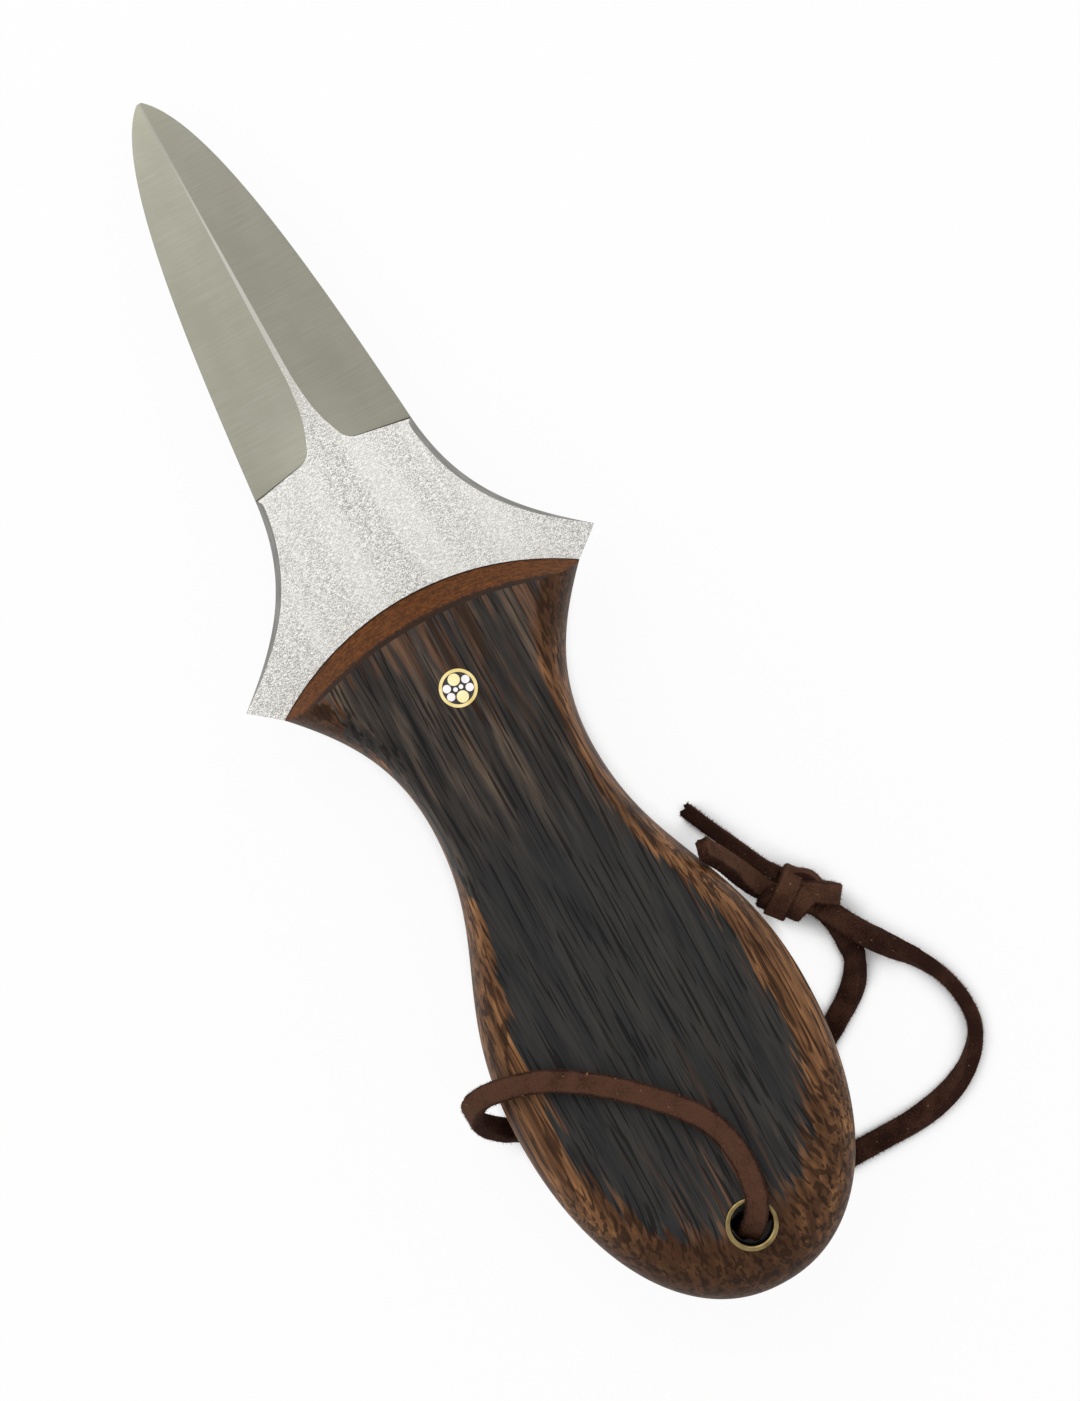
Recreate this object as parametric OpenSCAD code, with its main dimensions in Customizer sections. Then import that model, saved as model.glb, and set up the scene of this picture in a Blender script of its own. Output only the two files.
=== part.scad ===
// Oyster knife, millimetres. X runs along the knife with the tip at +X, Y across it and Z through
// its thickness. The origin is the middle of the knife without its lace. A station is a distance
// behind the tip, and x_at() turns it into X.

/* [Blade] */
// Tip to the plunge line where the bevels end
blade_length = 49.4; // [40:0.2:65]
// Width of the blade at the plunge line
blade_width = 21.6; // [17:0.2:26]
// Thickness of the steel plate
steel_thickness = 3.6; // [3:0.1:5]
// Thickness left at the blunt cutting edge
edge_thickness = 0.5; // [0.3:0.05:0.9]
// Width of the blunt tip
tip_width = 0.6; // [0.4:0.1:1.2]
// Rise of the bevels per millimetre in from the edge
bevel_rise = 0.165; // [0.15:0.005:0.19]
// Width of the bright land along the ridge
ridge_land = 0.3; // [0.2:0.05:0.6]
// Length over which the bevels steepen before the plunge line
plunge_run = 5.5; // [3:0.5:8]

/* [Guard] */
// Plunge line to the front of the scales, on the axis
guard_length = 19; // [16:0.2:26]
// Width over the two wing tips
guard_width = 48.4; // [46:0.2:54]
// How far the wing tips lie behind the front of the scales
wing_lag = 3.2; // [2.4:0.1:3.8]
// Chamfer along the hollow edges of the guard
guard_chamfer = 0.7; // [0.3:0.05:1.1]

/* [Handle] */
// Front of the scales to the butt, on the axis
handle_length = 95.6; // [88:0.2:110]
// Width of the scales at their front corners
front_width = 41; // [36:0.2:43]
// Radius of the arc that the scales' front follows on the steel
front_arc_r = 37; // [30:0.5:60]
// Front of the scales to the narrowest place
neck_from_front = 26.6; // [22:0.2:32]
// Width at the narrowest place
neck_width = 22.2; // [18:0.2:27]
// Butt to the widest place
bulb_from_butt = 31; // [26:0.2:36]
// Width at the widest place
bulb_width = 40.2; // [35:0.2:46]
// Height of one scale above the steel
scale_thickness = 7.5; // [6:0.1:10]
// How deep the scales are bedded in the steel
bed_depth = 0.2; // [0.1:0.05:0.4]
// Run of the sloping front face of a scale
front_slope_run = 3.8; // [2:0.1:6]
// Radius of the arc at the top of that face
top_arc_r = 50; // [40:1:80]
// Reach of the rounding at the front corners
corner_rounding = 6.5; // [4:0.1:8]
// Reach of the rounding at the neck
neck_rounding = 2.6; // [1.5:0.1:5]
// Reach of the rounding at the widest place
bulb_rounding = 6.5; // [4:0.1:9]
// Reach of the rounding at the butt
butt_rounding = 10; // [6:0.2:14]

/* [Mosaic pin] */
// Front of the scales to the pin
pin_from_front = 12.9; // [11:0.1:15]
// Outside diameter of the pin's brass tube
pin_diameter = 4.76; // [4.76:0.01:6.4]
// Wall of the pin's brass tube
pin_wall = 0.4; // [0.3:0.02:0.42]
// Diameter of the two brass rods
brass_rod_d = 1.5; // [1.1:0.02:1.5]
// Diameter of the four nickel silver rods
silver_rod_d = 1.02; // [0.7:0.02:1.02]
// Diameter of the two fine rods at the centre
fine_rod_d = 0.56; // [0.4:0.02:0.6]
// Angle of a nickel silver rod from the knife's axis
silver_rod_angle = 66.5; // [64:0.5:67]
// Glue gap round the pin, the lanyard tube and the rods, and in front of the scales
glue_gap = 0.02; // [0.01:0.01:0.04]

/* [Lanyard tube] */
// Butt to the middle of the lanyard tube
tube_from_butt = 8.3; // [7.6:0.1:10]
// Outside diameter of the lanyard tube
tube_diameter = 6.35; // [6.1:0.05:7]
// Bore of the lanyard tube
tube_bore = 5.2; // [5:0.05:5.4]
// Diameter of its rounded lips
lip_diameter = 6.6; // [6.5:0.05:7.8]
// Height of a lip
lip_height = 0.4; // [0.3:0.05:0.6]
// How far a lip stands out of the wood
lip_proud = 0.05; // [0:0.01:0.1]

/* [Lace] */
// Width of the suede lace
lace_width = 2.8; // [2:0.1:2.8]
// Thickness of the suede lace
lace_thickness = 1.8; // [1.2:0.1:1.8]

/* [Hidden] */

// Stations behind the tip
plunge_s = blade_length;
front_s = plunge_s + guard_length;
wing_s = front_s + wing_lag;
corner_s = front_s + front_arc_r - sqrt(pow(front_arc_r, 2) - pow(front_width / 2, 2));
neck_s = front_s + neck_from_front;
butt_s = front_s + handle_length;
bulb_s = butt_s - bulb_from_butt;
pin_s = front_s + pin_from_front;
tube_s = butt_s - tube_from_butt;

// Heights from the middle of the steel
steel_z = steel_thickness / 2;
bed_z = steel_z - bed_depth;
plateau_z = steel_z + scale_thickness;

// Shape of the outline between the stations, as pulls on smooth curves
butt_power = 2.15;
tip_crowding = 1.3;
plunge_flare = 0.09;
corner_slope = 0.95;
wing_slope = 1.21;
point_pull = [0.108, 0.612];
blade_pull = 0.42;
guard_pulls = [0.475, 0.28];
front_pulls = [0.276, 0.452];
rear_pulls = [0.408, 0.469];

// How finely the curves are drawn
blade_steps = 22;
guard_steps = 14;
handle_steps = 12;
butt_steps = 14;
front_steps = 7;
round_steps = 7;
bore_fn = 64;

// The bevels steepen by this share at the plunge, which slants by this much per millimetre from
// the half width where the unground flat ends
plunge_steepening = 0.33;
plunge_slant = 0.15;
plunge_inner = 3.6;

// Reach of the fine cuts past the surface that they cut, and of the plain ones
cut_margin = 0.4;
over = 1;
edge_z = edge_thickness / 2;

// Pieces of the mosaic pin, measured from its centre
pin_bore = pin_diameter - 2 * pin_wall;
rod_wall = 0.05;
brass_rod_at = (pin_bore - brass_rod_d) / 2 - glue_gap - rod_wall;
silver_rod_at = (pin_bore - silver_rod_d) / 2 - glue_gap - rod_wall;
fine_rod_at = 0.38;

// Round numbers along the lace, as X, Y, Z, each route from the middle of the lanyard tube or the knot
front_route = [
    [-74, 0.5, 0], [-74.4, 0.6, 3], [-74.3, 0.4, 6], [-73.8, -0.3, 8.3],
    [-72.8, -1.2, 9.9], [-71.3, -2, 10.7], [-69.5, -2.5, 10.8], [-66.5, -2.8, 10.5],
    [-63, -2.4, 10.5], [-60, -1.3, 10.5], [-57, 0.8, 10.5], [-54, 3.6, 10.5],
    [-51.5, 6.3, 10.5], [-49, 9.4, 10.5], [-47, 12.4, 10.5], [-45.6, 15.6, 10.4],
    [-44.8, 18.6, 9.6], [-44.5, 21, 7.6], [-44.8, 22.6, 4.8], [-45.6, 23.4, 1.6],
    [-46.8, 23.4, -1.8], [-48.2, 22.5, -5], [-49.6, 20.8, -7.8], [-51, 18.4, -9.7],
    [-52.6, 15.4, -10.4], [-55.5, 10.6, -10.4], [-58.5, 4.9, -10.4], [-60.5, -1, -10.4],
    [-61.5, -7, -10.4], [-61.2, -13, -10.4], [-59, -18, -10.4], [-56.7, -21.8, -10.2],
    [-54.5, -24.8, -9.9], [-51.8, -26.6, -9.8], [-49.5, -27, -9.9], [-46.8, -26.8, -9.5],
    [-43.6, -25.8, -8.95]
];
back_route = [
    [-74, 0.5, 0], [-73.8, 1.1, -2.5], [-73.7, 1.4, -5], [-73.7, 0.8, -7.8],
    [-73.6, -0.8, -9.6], [-73.4, -2.8, -10.4], [-73.2, -5, -10.4], [-72.9, -9, -10.4],
    [-72.6, -14, -10.4], [-72.6, -19, -10.4], [-72.5, -24, -10.1], [-71.6, -28.7, -9.9],
    [-69.5, -32.8, -9.8], [-66.2, -35.5, -9.9], [-62.5, -36, -9.9], [-58.7, -35.2, -9.9],
    [-55.3, -33.4, -9.4], [-52.4, -31.2, -8.8], [-49.6, -29.2, -7.8], [-46.8, -27.6, -7.3],
    [-43.6, -25.8, -7.05]
];
upper_route = [
    [-37.9, -23.4, -8], [-36.3, -22.2, -8.1], [-33, -20.6, -8.8],
    [-29.5, -18.9, -9.5], [-25.8, -17.2, -9.8]
];
lower_route = [
    [-39.4, -21.4, -8], [-37.9, -20.4, -7], [-35.6, -19.3, -3.4],
    [-33.2, -18.2, 1.2], [-30.8, -16.8, 5.5]
];

// Which way the flat of the lace faces, as the number of a point on the route and a direction
front_faces = [
    [0, [-1, 1, 0]], [3, [-1, 1, 0.2]], [5, [-0.4, 0.2, 1]], [7, [0, 0, 1]], [15, [0, 0, 1]],
    [17, [0, 0.6, 1]], [19, [0, 1, 0.3]], [21, [0, 1, -0.4]], [23, [0, 0.3, -1]], [24, [0, 0, -1]],
    [30, [0, 0, -1]], [31, [0, -0.4, -1]], [33, [0, -1, -0.5]], [34, [0, -0.6, -1]], [35, [0, 0, -1]],
    [36, [0, 0, -1]]
];
back_faces = [
    [0, [-1, 1, 0]], [2, [-0.2, 1, 0]], [4, [-0.1, 1, -1]], [6, [0, 0.1, -1]], [9, [0, 0, -1]],
    [10, [-0.3, 0, -1]], [11, [-1, -0.4, -1]], [12, [-0.9, -0.6, -0.35]], [13, [-0.5, -0.85, 0]],
    [14, [0, -1, 0]], [15, [0.3, -1, 0]], [16, [0.5, -0.8, -0.2]], [17, [0.5, -0.8, -0.8]],
    [18, [0.1, -0.2, -1]], [19, [0, 0, -1]], [20, [0, 0, -1]]
];
upper_faces = [[0, [-0.6, 0.8, 0]], [4, [-0.6, 0.8, 0]]];
lower_faces = [[0, [0, 0, 1]], [2, [0, -0.6, 1]], [3, [0, -1, 0.6]], [4, [0, -1, 0.6]]];

// The knot: its middle, the way it points, its core and the two bands wound round it, each as its
// place along the knot, its shift aside and its tilt
knot_at = [-41.2, -24, -8];
knot_way = [0.8, 0.6, 0];
knot_length = 6;
knot_core_r = 2.7;
knot_band_r = 3.3;
knot_bands = [[-1.2, -0.9, 9], [1.2, 0.6, -9]];
lace_corner = 0.35;

// Which way the two tails point at their free ends
upper_end = [0.9, 0.42, -0.1];
lower_end = [0.5, 0.25, 0.8];

function x_at(s) = butt_s / 2 - s;
function unit(v) = v / norm(v);
function bend(p, t) = pow(1 - t, 3) * p[0] + 3 * pow(1 - t, 2) * t * p[1]
    + 3 * (1 - t) * t * t * p[2] + pow(t, 3) * p[3];
function bend_way(p, t) = 3 * pow(1 - t, 2) * (p[1] - p[0]) + 6 * (1 - t) * t * (p[2] - p[1])
    + 3 * t * t * (p[3] - p[2]);

// Outline curves, as [station, half width]
blade_curve = [
    [0, tip_width / 2],
    [blade_length * point_pull[0], blade_width / 2 * point_pull[1]],
    [plunge_s - blade_length * blade_pull, blade_width / 2 - plunge_flare * blade_length * blade_pull],
    [plunge_s, blade_width / 2]
];
guard_run = wing_s - plunge_s;
guard_curve = [
    [plunge_s, blade_width / 2],
    [plunge_s + guard_run * guard_pulls[0], blade_width / 2 + plunge_flare * guard_run * guard_pulls[0]],
    [wing_s - guard_run * guard_pulls[1], guard_width / 2 - wing_slope * guard_run * guard_pulls[1]],
    [wing_s, guard_width / 2]
];
front_run = neck_s - corner_s;
front_curve = [
    [corner_s, front_width / 2],
    [corner_s + front_run * front_pulls[0], front_width / 2 - corner_slope * front_run * front_pulls[0]],
    [neck_s - front_run * front_pulls[1], neck_width / 2],
    [neck_s, neck_width / 2]
];
rear_run = bulb_s - neck_s;
rear_curve = [
    [neck_s, neck_width / 2],
    [neck_s + rear_run * rear_pulls[0], neck_width / 2],
    [bulb_s - rear_run * rear_pulls[1], bulb_width / 2],
    [bulb_s, bulb_width / 2]
];
function butt_point(a, length, half) =
    [bulb_s + length * pow(sin(a), 2 / butt_power), half * pow(cos(a), 2 / butt_power)];

// Half outlines run from the tip or the front to the butt. Both sides come from one half.
function both_sides(half) = concat(
    [for (p = half) [x_at(p[0]), p[1]]],
    [for (i = [len(half) - 1:-1:0]) if (half[i][1] > 0.001) [x_at(half[i][0]), -half[i][1]]]
);
steel_half = concat(
    [for (i = [0:blade_steps - 1]) bend(blade_curve, pow(i / blade_steps, tip_crowding))],
    [for (i = [0:guard_steps]) bend(guard_curve, i / guard_steps)],
    [for (i = [0:handle_steps - 1]) bend(front_curve, i / handle_steps)],
    [for (i = [0:handle_steps - 1]) bend(rear_curve, i / handle_steps)],
    [for (i = [0:butt_steps - 1]) butt_point(90 * i / butt_steps, bulb_from_butt, bulb_width / 2)],
    [[butt_s, 0]]
);

// Front face of a scale, a ruled surface between the arc on the steel and the arc on the plateau
function arc_s(l, s, r) = s + r - sqrt(r * r - l * l);
function face_s(l, rise) = (1 - rise) * arc_s(l, front_s, front_arc_r)
    + rise * arc_s(l, front_s + front_slope_run, top_arc_r);
function inset_at(curve_t, a, b) = a + (b - a) * (3 - 2 * curve_t) * curve_t * curve_t;
function side_point(t, pull) = bend(front_curve, t)
    - [0, pull * inset_at(max(t, 0), corner_rounding, neck_rounding)];
function corner_t(rise, pull, low = -0.3, high = 0.3, n = 24) =
    let (t = (low + high) / 2, p = side_point(t, pull))
    n == 0 ? t
    : p[0] > face_s(p[1], rise) ? corner_t(rise, pull, low, t, n - 1)
    : corner_t(rise, pull, t, high, n - 1);
function scale_half(rise, pull) =
    let (t0 = corner_t(rise, pull), c = side_point(t0, pull))
    concat(
        [for (i = [0:front_steps - 1]) let (l = c[1] * i / front_steps) [face_s(l, rise), l]],
        [for (i = [0:handle_steps - 1]) side_point(t0 + (1 - t0) * i / handle_steps, pull)],
        [for (i = [0:handle_steps - 1]) let (t = i / handle_steps)
            bend(rear_curve, t) - [0, pull * inset_at(t, neck_rounding, bulb_rounding)]],
        [for (i = [0:butt_steps - 1]) butt_point(90 * i / butt_steps,
            bulb_from_butt - pull * butt_rounding, bulb_width / 2 - pull * bulb_rounding)],
        [[butt_s - pull * butt_rounding, 0]]
    );

// A solid through rings of m points each. The end face may be given as its own triangles.
function ring_sides(rings, m) = concat(
    [for (k = [0:rings - 2], i = [0:m - 1]) [k * m + i, (k + 1) * m + i, (k + 1) * m + (i + 1) % m]],
    [for (k = [0:rings - 2], i = [0:m - 1]) [k * m + i, (k + 1) * m + (i + 1) % m, k * m + (i + 1) % m]]
);
module through_rings(rings, end = []) {
    m = len(rings[0]);
    last = (len(rings) - 1) * m;
    polyhedron(
        points = [for (r = rings, p = r) p],
        faces = concat(
            ring_sides(len(rings), m),
            [[for (i = [0:m - 1]) i]],
            len(end) == 0 ? [[for (i = [m - 1:-1:0]) last + i]] : [for (f = end) [for (i = f) last + i]]
        ),
        convexity = 8
    );
}
module on_both(v) {
    children();
    mirror(v) children();
}
module hole(s, d) {
    translate([x_at(s), 0, -plateau_z - over])
        cylinder(d = d, h = 2 * (plateau_z + over), $fn = bore_fn);
}

// Blade, guard and tang are one plate of steel
function bevel_slope(s) = bevel_rise * (1 + plunge_steepening
    * pow(max(0, 1 - (plunge_s - s) / plunge_run), 3));
function bevel_ring(s, half, slant) =
    let (
        slope = bevel_slope(s),
        out = half + over,
        inner_z = min(edge_z + slope * (half - ridge_land / 2), steel_z + cut_margin),
        inner = max(half - (inner_z - edge_z) / slope, ridge_land / 2),
        low = edge_z - slope,
        top = steel_z + over
    )
    [
        [x_at(s + slant), -out, top], [x_at(s + slant), out, top], [x_at(s + slant), out, low],
        [x_at(s), inner, inner_z], [x_at(s), -inner, inner_z], [x_at(s + slant), -out, low]
    ];
module bevel_cutter() {
    tip = blade_curve[0];
    last = plunge_s - plunge_slant * (blade_width / 2 - plunge_inner);
    samples = [for (i = [0:blade_steps * 2]) bend(blade_curve, pow(i / (blade_steps * 2), tip_crowding))];
    kept = [for (p = samples) if (p[0] < last - cut_margin) p];
    through_rings(
        concat(
            [bevel_ring(-over, tip[1], 0)],
            [for (p = kept) bevel_ring(p[0], p[1], 0)],
            [bevel_ring(last, blade_width / 2, plunge_s - last)]
        ),
        end = [[3, 2, 1], [5, 4, 0], [4, 3, 1], [4, 1, 0]]
    );
}
// It runs on past the wing tip by one margin, so that the cut doesn't end on the plate's corner
module chamfer_cutter() {
    m = cut_margin;
    through_rings([
        for (i = [0:guard_steps + 1])
            let (
                t = min(i / guard_steps, 1),
                way = unit(bend_way(guard_curve, t)),
                p = bend(guard_curve, t) + (i > guard_steps ? m : 0) * way,
                out = [way[1], way[0]],
                at = [x_at(p[0]), p[1]],
                deep = at - out * (guard_chamfer + m),
                clear = at + out * m
            )
            [
                [deep[0], deep[1], steel_z + m],
                [clear[0], clear[1], steel_z + m],
                [clear[0], clear[1], steel_z - guard_chamfer - m]
            ]
    ]);
}
module bed_cutter() {
    arc_x = x_at(front_s + front_arc_r);
    translate([0, 0, bed_z]) linear_extrude(bed_depth + over) {
        translate([arc_x, 0]) circle(r = front_arc_r + glue_gap, $fn = 128);
        translate([x_at(butt_s) - over, -front_arc_r])
            square([arc_x - x_at(butt_s) + over, 2 * front_arc_r]);
    }
}
module blade_and_tang() {
    color("#c9c9c6") difference() {
        translate([0, 0, -steel_z]) linear_extrude(steel_thickness) polygon(both_sides(steel_half));
        on_both([0, 0, 1]) {
            bevel_cutter();
            bed_cutter();
            on_both([0, 1, 0]) chamfer_cutter();
        }
        hole(pin_s, pin_diameter + 2 * glue_gap);
        hole(tube_s, tube_diameter + 2 * glue_gap);
    }
}

// A wenge scale, bedded on the tang and rounded up to a flat plateau
module scale() {
    difference() {
        through_rings([
            for (k = [0:round_steps])
                let (
                    a = 90 * k / round_steps,
                    z = bed_z + (plateau_z - bed_z) * sin(a)
                )
                [for (p = both_sides(scale_half(sin(a), 1 - cos(a)))) [p[0], p[1], z]]
        ]);
        hole(pin_s, pin_diameter + 2 * glue_gap);
        hole(tube_s, tube_diameter + 2 * glue_gap);
        translate([x_at(tube_s), 0, plateau_z + lip_proud - lip_height - glue_gap])
            cylinder(d = lip_diameter + 2 * glue_gap, h = lip_height + over, $fn = bore_fn);
    }
}
module front_scale() { color("#3b2a20") scale(); }
module back_scale() { color("#3b2a20") mirror([0, 0, 1]) scale(); }

// Mosaic pin: a brass tube through both scales, packed with rods in black resin
module pin_piece(at, d) {
    translate([x_at(pin_s) + at[0], at[1], -plateau_z])
        cylinder(d = d, h = 2 * plateau_z, $fn = bore_fn);
}
function silver_at(n) =
    let (a = [silver_rod_angle, 180 - silver_rod_angle, 180 + silver_rod_angle, -silver_rod_angle][n])
    silver_rod_at * [cos(a), sin(a)];
module pin_tube() {
    color("#c8a951") difference() {
        pin_piece([0, 0], pin_diameter);
        hole(pin_s, pin_bore);
    }
}
module pin_resin() {
    color("#1c1a18") difference() {
        pin_piece([0, 0], pin_bore - glue_gap);
        for (side = [-1, 1]) {
            rod_hole([side * brass_rod_at, 0], brass_rod_d);
            rod_hole([0, side * fine_rod_at], fine_rod_d);
        }
        for (n = [0:3]) rod_hole(silver_at(n), silver_rod_d);
    }
}
module rod_hole(at, d) {
    translate([x_at(pin_s) + at[0], at[1], -plateau_z - over])
        cylinder(d = d + glue_gap, h = 2 * (plateau_z + over), $fn = bore_fn);
}
module pin_brass_rod_front() { color("#d8b860") pin_piece([brass_rod_at, 0], brass_rod_d); }
module pin_brass_rod_rear() { color("#d8b860") pin_piece([-brass_rod_at, 0], brass_rod_d); }
module pin_silver_rod(n) { color("#e8e6e0") pin_piece(silver_at(n), silver_rod_d); }
module pin_fine_rod(side) { color("#e8e6e0") pin_piece([0, side * fine_rod_at], fine_rod_d); }

// Lanyard tube with a rounded lip at each mouth
module lanyard_tube() {
    top = plateau_z + lip_proud;
    inner = tube_bore / 2;
    outer = tube_diameter / 2;
    lip = lip_diameter / 2;
    reach = (lip - inner) / 2;
    middle = (lip + inner) / 2;
    rise = lip_height / 2;
    crown = [for (a = [0:22.5:180]) [middle + reach * cos(a), top - rise + rise * sin(a)]];
    edge = concat([[outer, top - lip_height], [lip, top - lip_height]], crown);
    color("#b99b52") translate([x_at(tube_s), 0, 0]) rotate_extrude($fn = bore_fn)
        polygon(concat(edge, [for (i = [len(edge) - 1:-1:0]) [edge[i][0], -edge[i][1]]]));
}

// Suede lace, a flat strip with eased corners swept along its route
lace_half = [lace_width / 2, lace_thickness / 2];
lace_ease = [lace_half[0] - lace_corner, lace_half[1] - lace_corner];
lace_outline = [
    [lace_half[0], -lace_ease[1]], [lace_half[0], lace_ease[1]],
    [lace_ease[0], lace_half[1]], [-lace_ease[0], lace_half[1]],
    [-lace_half[0], lace_ease[1]], [-lace_half[0], -lace_ease[1]],
    [-lace_ease[0], -lace_half[1]], [lace_ease[0], -lace_half[1]]
];
function ways(route, first, last) = [
    for (i = [0:len(route) - 1])
        i == 0 ? first
        : i == len(route) - 1 ? last
        : unit(route[i + 1] - route[i - 1])
];
function facing(keys, i) = [for (c = [0:2]) lookup(i, [for (k = keys) [k[0], k[1][c]]])];
module lace(route, first, last, faces) {
    way = ways(route, first, last);
    color("#4a2f26") through_rings([
        for (i = [0:len(route) - 1])
            let (
                f = facing(faces, i),
                up = unit(f - (f * way[i]) * way[i]),
                across = cross(up, way[i])
            )
            [for (q = lace_outline) route[i] + across * q[0] + up * q[1]]
    ]);
}
module lace_front_run() { lace(front_route, [0, 0, 1], knot_way, front_faces); }
module lace_back_run() { lace(back_route, [0, 0, -1], knot_way, back_faces); }
module lace_tail_upper() { lace(upper_route, knot_way, unit(upper_end), upper_faces); }
module lace_tail_lower() { lace(lower_route, knot_way, unit(lower_end), lower_faces); }
module knot_band(along, aside, tilt) {
    wide = lace_width / 2;
    translate([aside, 0, along]) rotate([0, tilt, 0]) rotate_extrude($fn = 32) polygon([
        [0, -wide], [knot_band_r - lace_corner, -wide], [knot_band_r, -wide + lace_corner],
        [knot_band_r, wide - lace_corner], [knot_band_r - lace_corner, wide], [0, wide]
    ]);
}
module lace_knot() {
    color("#422a22") translate(knot_at) rotate([0, 0, atan2(knot_way[1], knot_way[0])])
        rotate([0, 90, 0]) rotate([0, 0, 90]) {
            translate([0, 0, -knot_length / 2]) cylinder(r = knot_core_r, h = knot_length, $fn = 48);
            for (b = knot_bands) knot_band(b[0], b[1], b[2]);
        }
}

blade_and_tang();
front_scale();
back_scale();
pin_tube();
pin_resin();
pin_brass_rod_front();
pin_brass_rod_rear();
pin_silver_rod(0);  // pin_silver_rod_1
pin_silver_rod(1);  // pin_silver_rod_2
pin_silver_rod(2);  // pin_silver_rod_3
pin_silver_rod(3);  // pin_silver_rod_4
pin_fine_rod(1);  // pin_fine_rod_left
pin_fine_rod(-1);  // pin_fine_rod_right
lanyard_tube();
lace_front_run();
lace_back_run();
lace_knot();
lace_tail_upper();
lace_tail_lower();
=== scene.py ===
# %% [markdown]
# Oyster knife
#
# An oyster knife has a short, stiff blade with two blunt ground edges, a flared guard that keeps the
# hand off the shell, and a handle of two rounded scales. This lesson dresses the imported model, which
# holds every piece at its real size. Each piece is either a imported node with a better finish, or a
# finer mesh of the same form that stands in its place.

# %% Load the frame
import math

import bmesh
import bpy
import numpy as np
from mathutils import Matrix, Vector, noise


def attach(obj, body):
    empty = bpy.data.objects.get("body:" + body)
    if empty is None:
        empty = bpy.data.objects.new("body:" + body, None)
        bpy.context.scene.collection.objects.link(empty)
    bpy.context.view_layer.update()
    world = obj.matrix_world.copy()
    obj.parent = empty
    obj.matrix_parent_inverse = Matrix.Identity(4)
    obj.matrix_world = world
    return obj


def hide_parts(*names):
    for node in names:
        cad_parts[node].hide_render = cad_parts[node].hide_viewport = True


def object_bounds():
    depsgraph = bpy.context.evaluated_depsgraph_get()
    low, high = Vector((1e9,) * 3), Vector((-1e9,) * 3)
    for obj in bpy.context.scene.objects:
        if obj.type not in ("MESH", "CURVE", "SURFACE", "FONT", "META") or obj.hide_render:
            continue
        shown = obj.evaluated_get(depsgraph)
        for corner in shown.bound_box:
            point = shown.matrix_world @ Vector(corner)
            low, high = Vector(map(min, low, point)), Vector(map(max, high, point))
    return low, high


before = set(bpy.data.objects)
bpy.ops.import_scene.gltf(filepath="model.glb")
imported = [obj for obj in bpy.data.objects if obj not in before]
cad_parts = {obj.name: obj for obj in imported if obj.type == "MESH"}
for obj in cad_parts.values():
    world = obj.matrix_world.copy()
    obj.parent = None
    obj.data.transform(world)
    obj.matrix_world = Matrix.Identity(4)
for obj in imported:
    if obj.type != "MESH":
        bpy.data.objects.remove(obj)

cad_low, cad_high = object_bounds()
scene = bpy.context.scene
scene.view_settings.view_transform = "Standard"
MM = 0.001
print("frame from", [round(v / MM, 1) for v in cad_low], "to", [round(v / MM, 1) for v in cad_high])

# %% [markdown]
# The camera
#
# The photograph looks straight down on the knife, with its tip at the top left. Its scale comes from
# the mosaic pin, so the height of the frame is a real size. A very long lens from almost three metres
# away keeps the handle, which is nearer, from looking larger than the blade.

# %% Camera
PHOTO_PIXELS = 1401
PIXELS_PER_MM = 8.2
PHOTO_HEIGHT = PHOTO_PIXELS / PIXELS_PER_MM
AIM = (-5.4, -8.0, 3.0)
TURN = -118.7
LENS = 600.0
SENSOR = 36.0

lens_data = bpy.data.cameras.new("camera")
lens_data.lens = LENS
lens_data.sensor_width = SENSOR
lens_data.clip_start = 0.01
lens_data.clip_end = 20.0
camera = bpy.data.objects.new("camera", lens_data)
scene.collection.objects.link(camera)
distance = PHOTO_HEIGHT * LENS / SENSOR
camera.location = (AIM[0] * MM, AIM[1] * MM, (AIM[2] + distance) * MM)
camera.rotation_euler = (0, 0, math.radians(TURN))
scene.camera = camera
print("camera is", round(distance), "mm above the knife")

# %% [markdown]
# Nodes and colours
#
# Every material here is a small graph of nodes. It could be drawn by hand in the shader editor, but a
# script gives the same graph each time. One function adds any node, sets it and feeds it, so a graph
# reads as a list of steps, and a table gives the kinds that come up often a plain word. Colours are
# written as the hex values that a screen shows, and one function turns them into the linear values that
# light is worked out in.

# %% Helper for nodes
MATHS = {"plus": "ADD", "minus": "SUBTRACT", "times": "MULTIPLY", "over": "DIVIDE", "power": "POWER",
         "times_plus": "MULTIPLY_ADD", "larger": "MAXIMUM", "unsigned": "ABSOLUTE"}
KINDS = {word: ("ShaderNodeMath", {"operation": name}) for word, name in MATHS.items()}
KINDS["scaled"] = ("ShaderNodeVectorMath", {"operation": "SCALE"})
KINDS["distance"] = ("ShaderNodeVectorMath", {"operation": "DISTANCE"})
KINDS["parts"] = ("ShaderNodeSeparateXYZ", {})
KINDS["range"] = ("ShaderNodeMapRange", {"interpolation_type": "SMOOTHSTEP"})
KINDS["ramp"] = ("ShaderNodeValToRGB", {})
KINDS["mix"] = ("ShaderNodeMix", {"data_type": "RGBA"})
KINDS["blend"] = ("ShaderNodeMixShader", {})


def linear(hex_colour):
    """The linear colour of a hex value."""
    channels = [int(hex_colour[i:i + 2], 16) / 255 for i in (1, 3, 5)]
    return [c / 12.92 if c <= 0.04045 else ((c + 0.055) / 1.055) ** 2.4 for c in channels] + [1.0]


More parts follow.
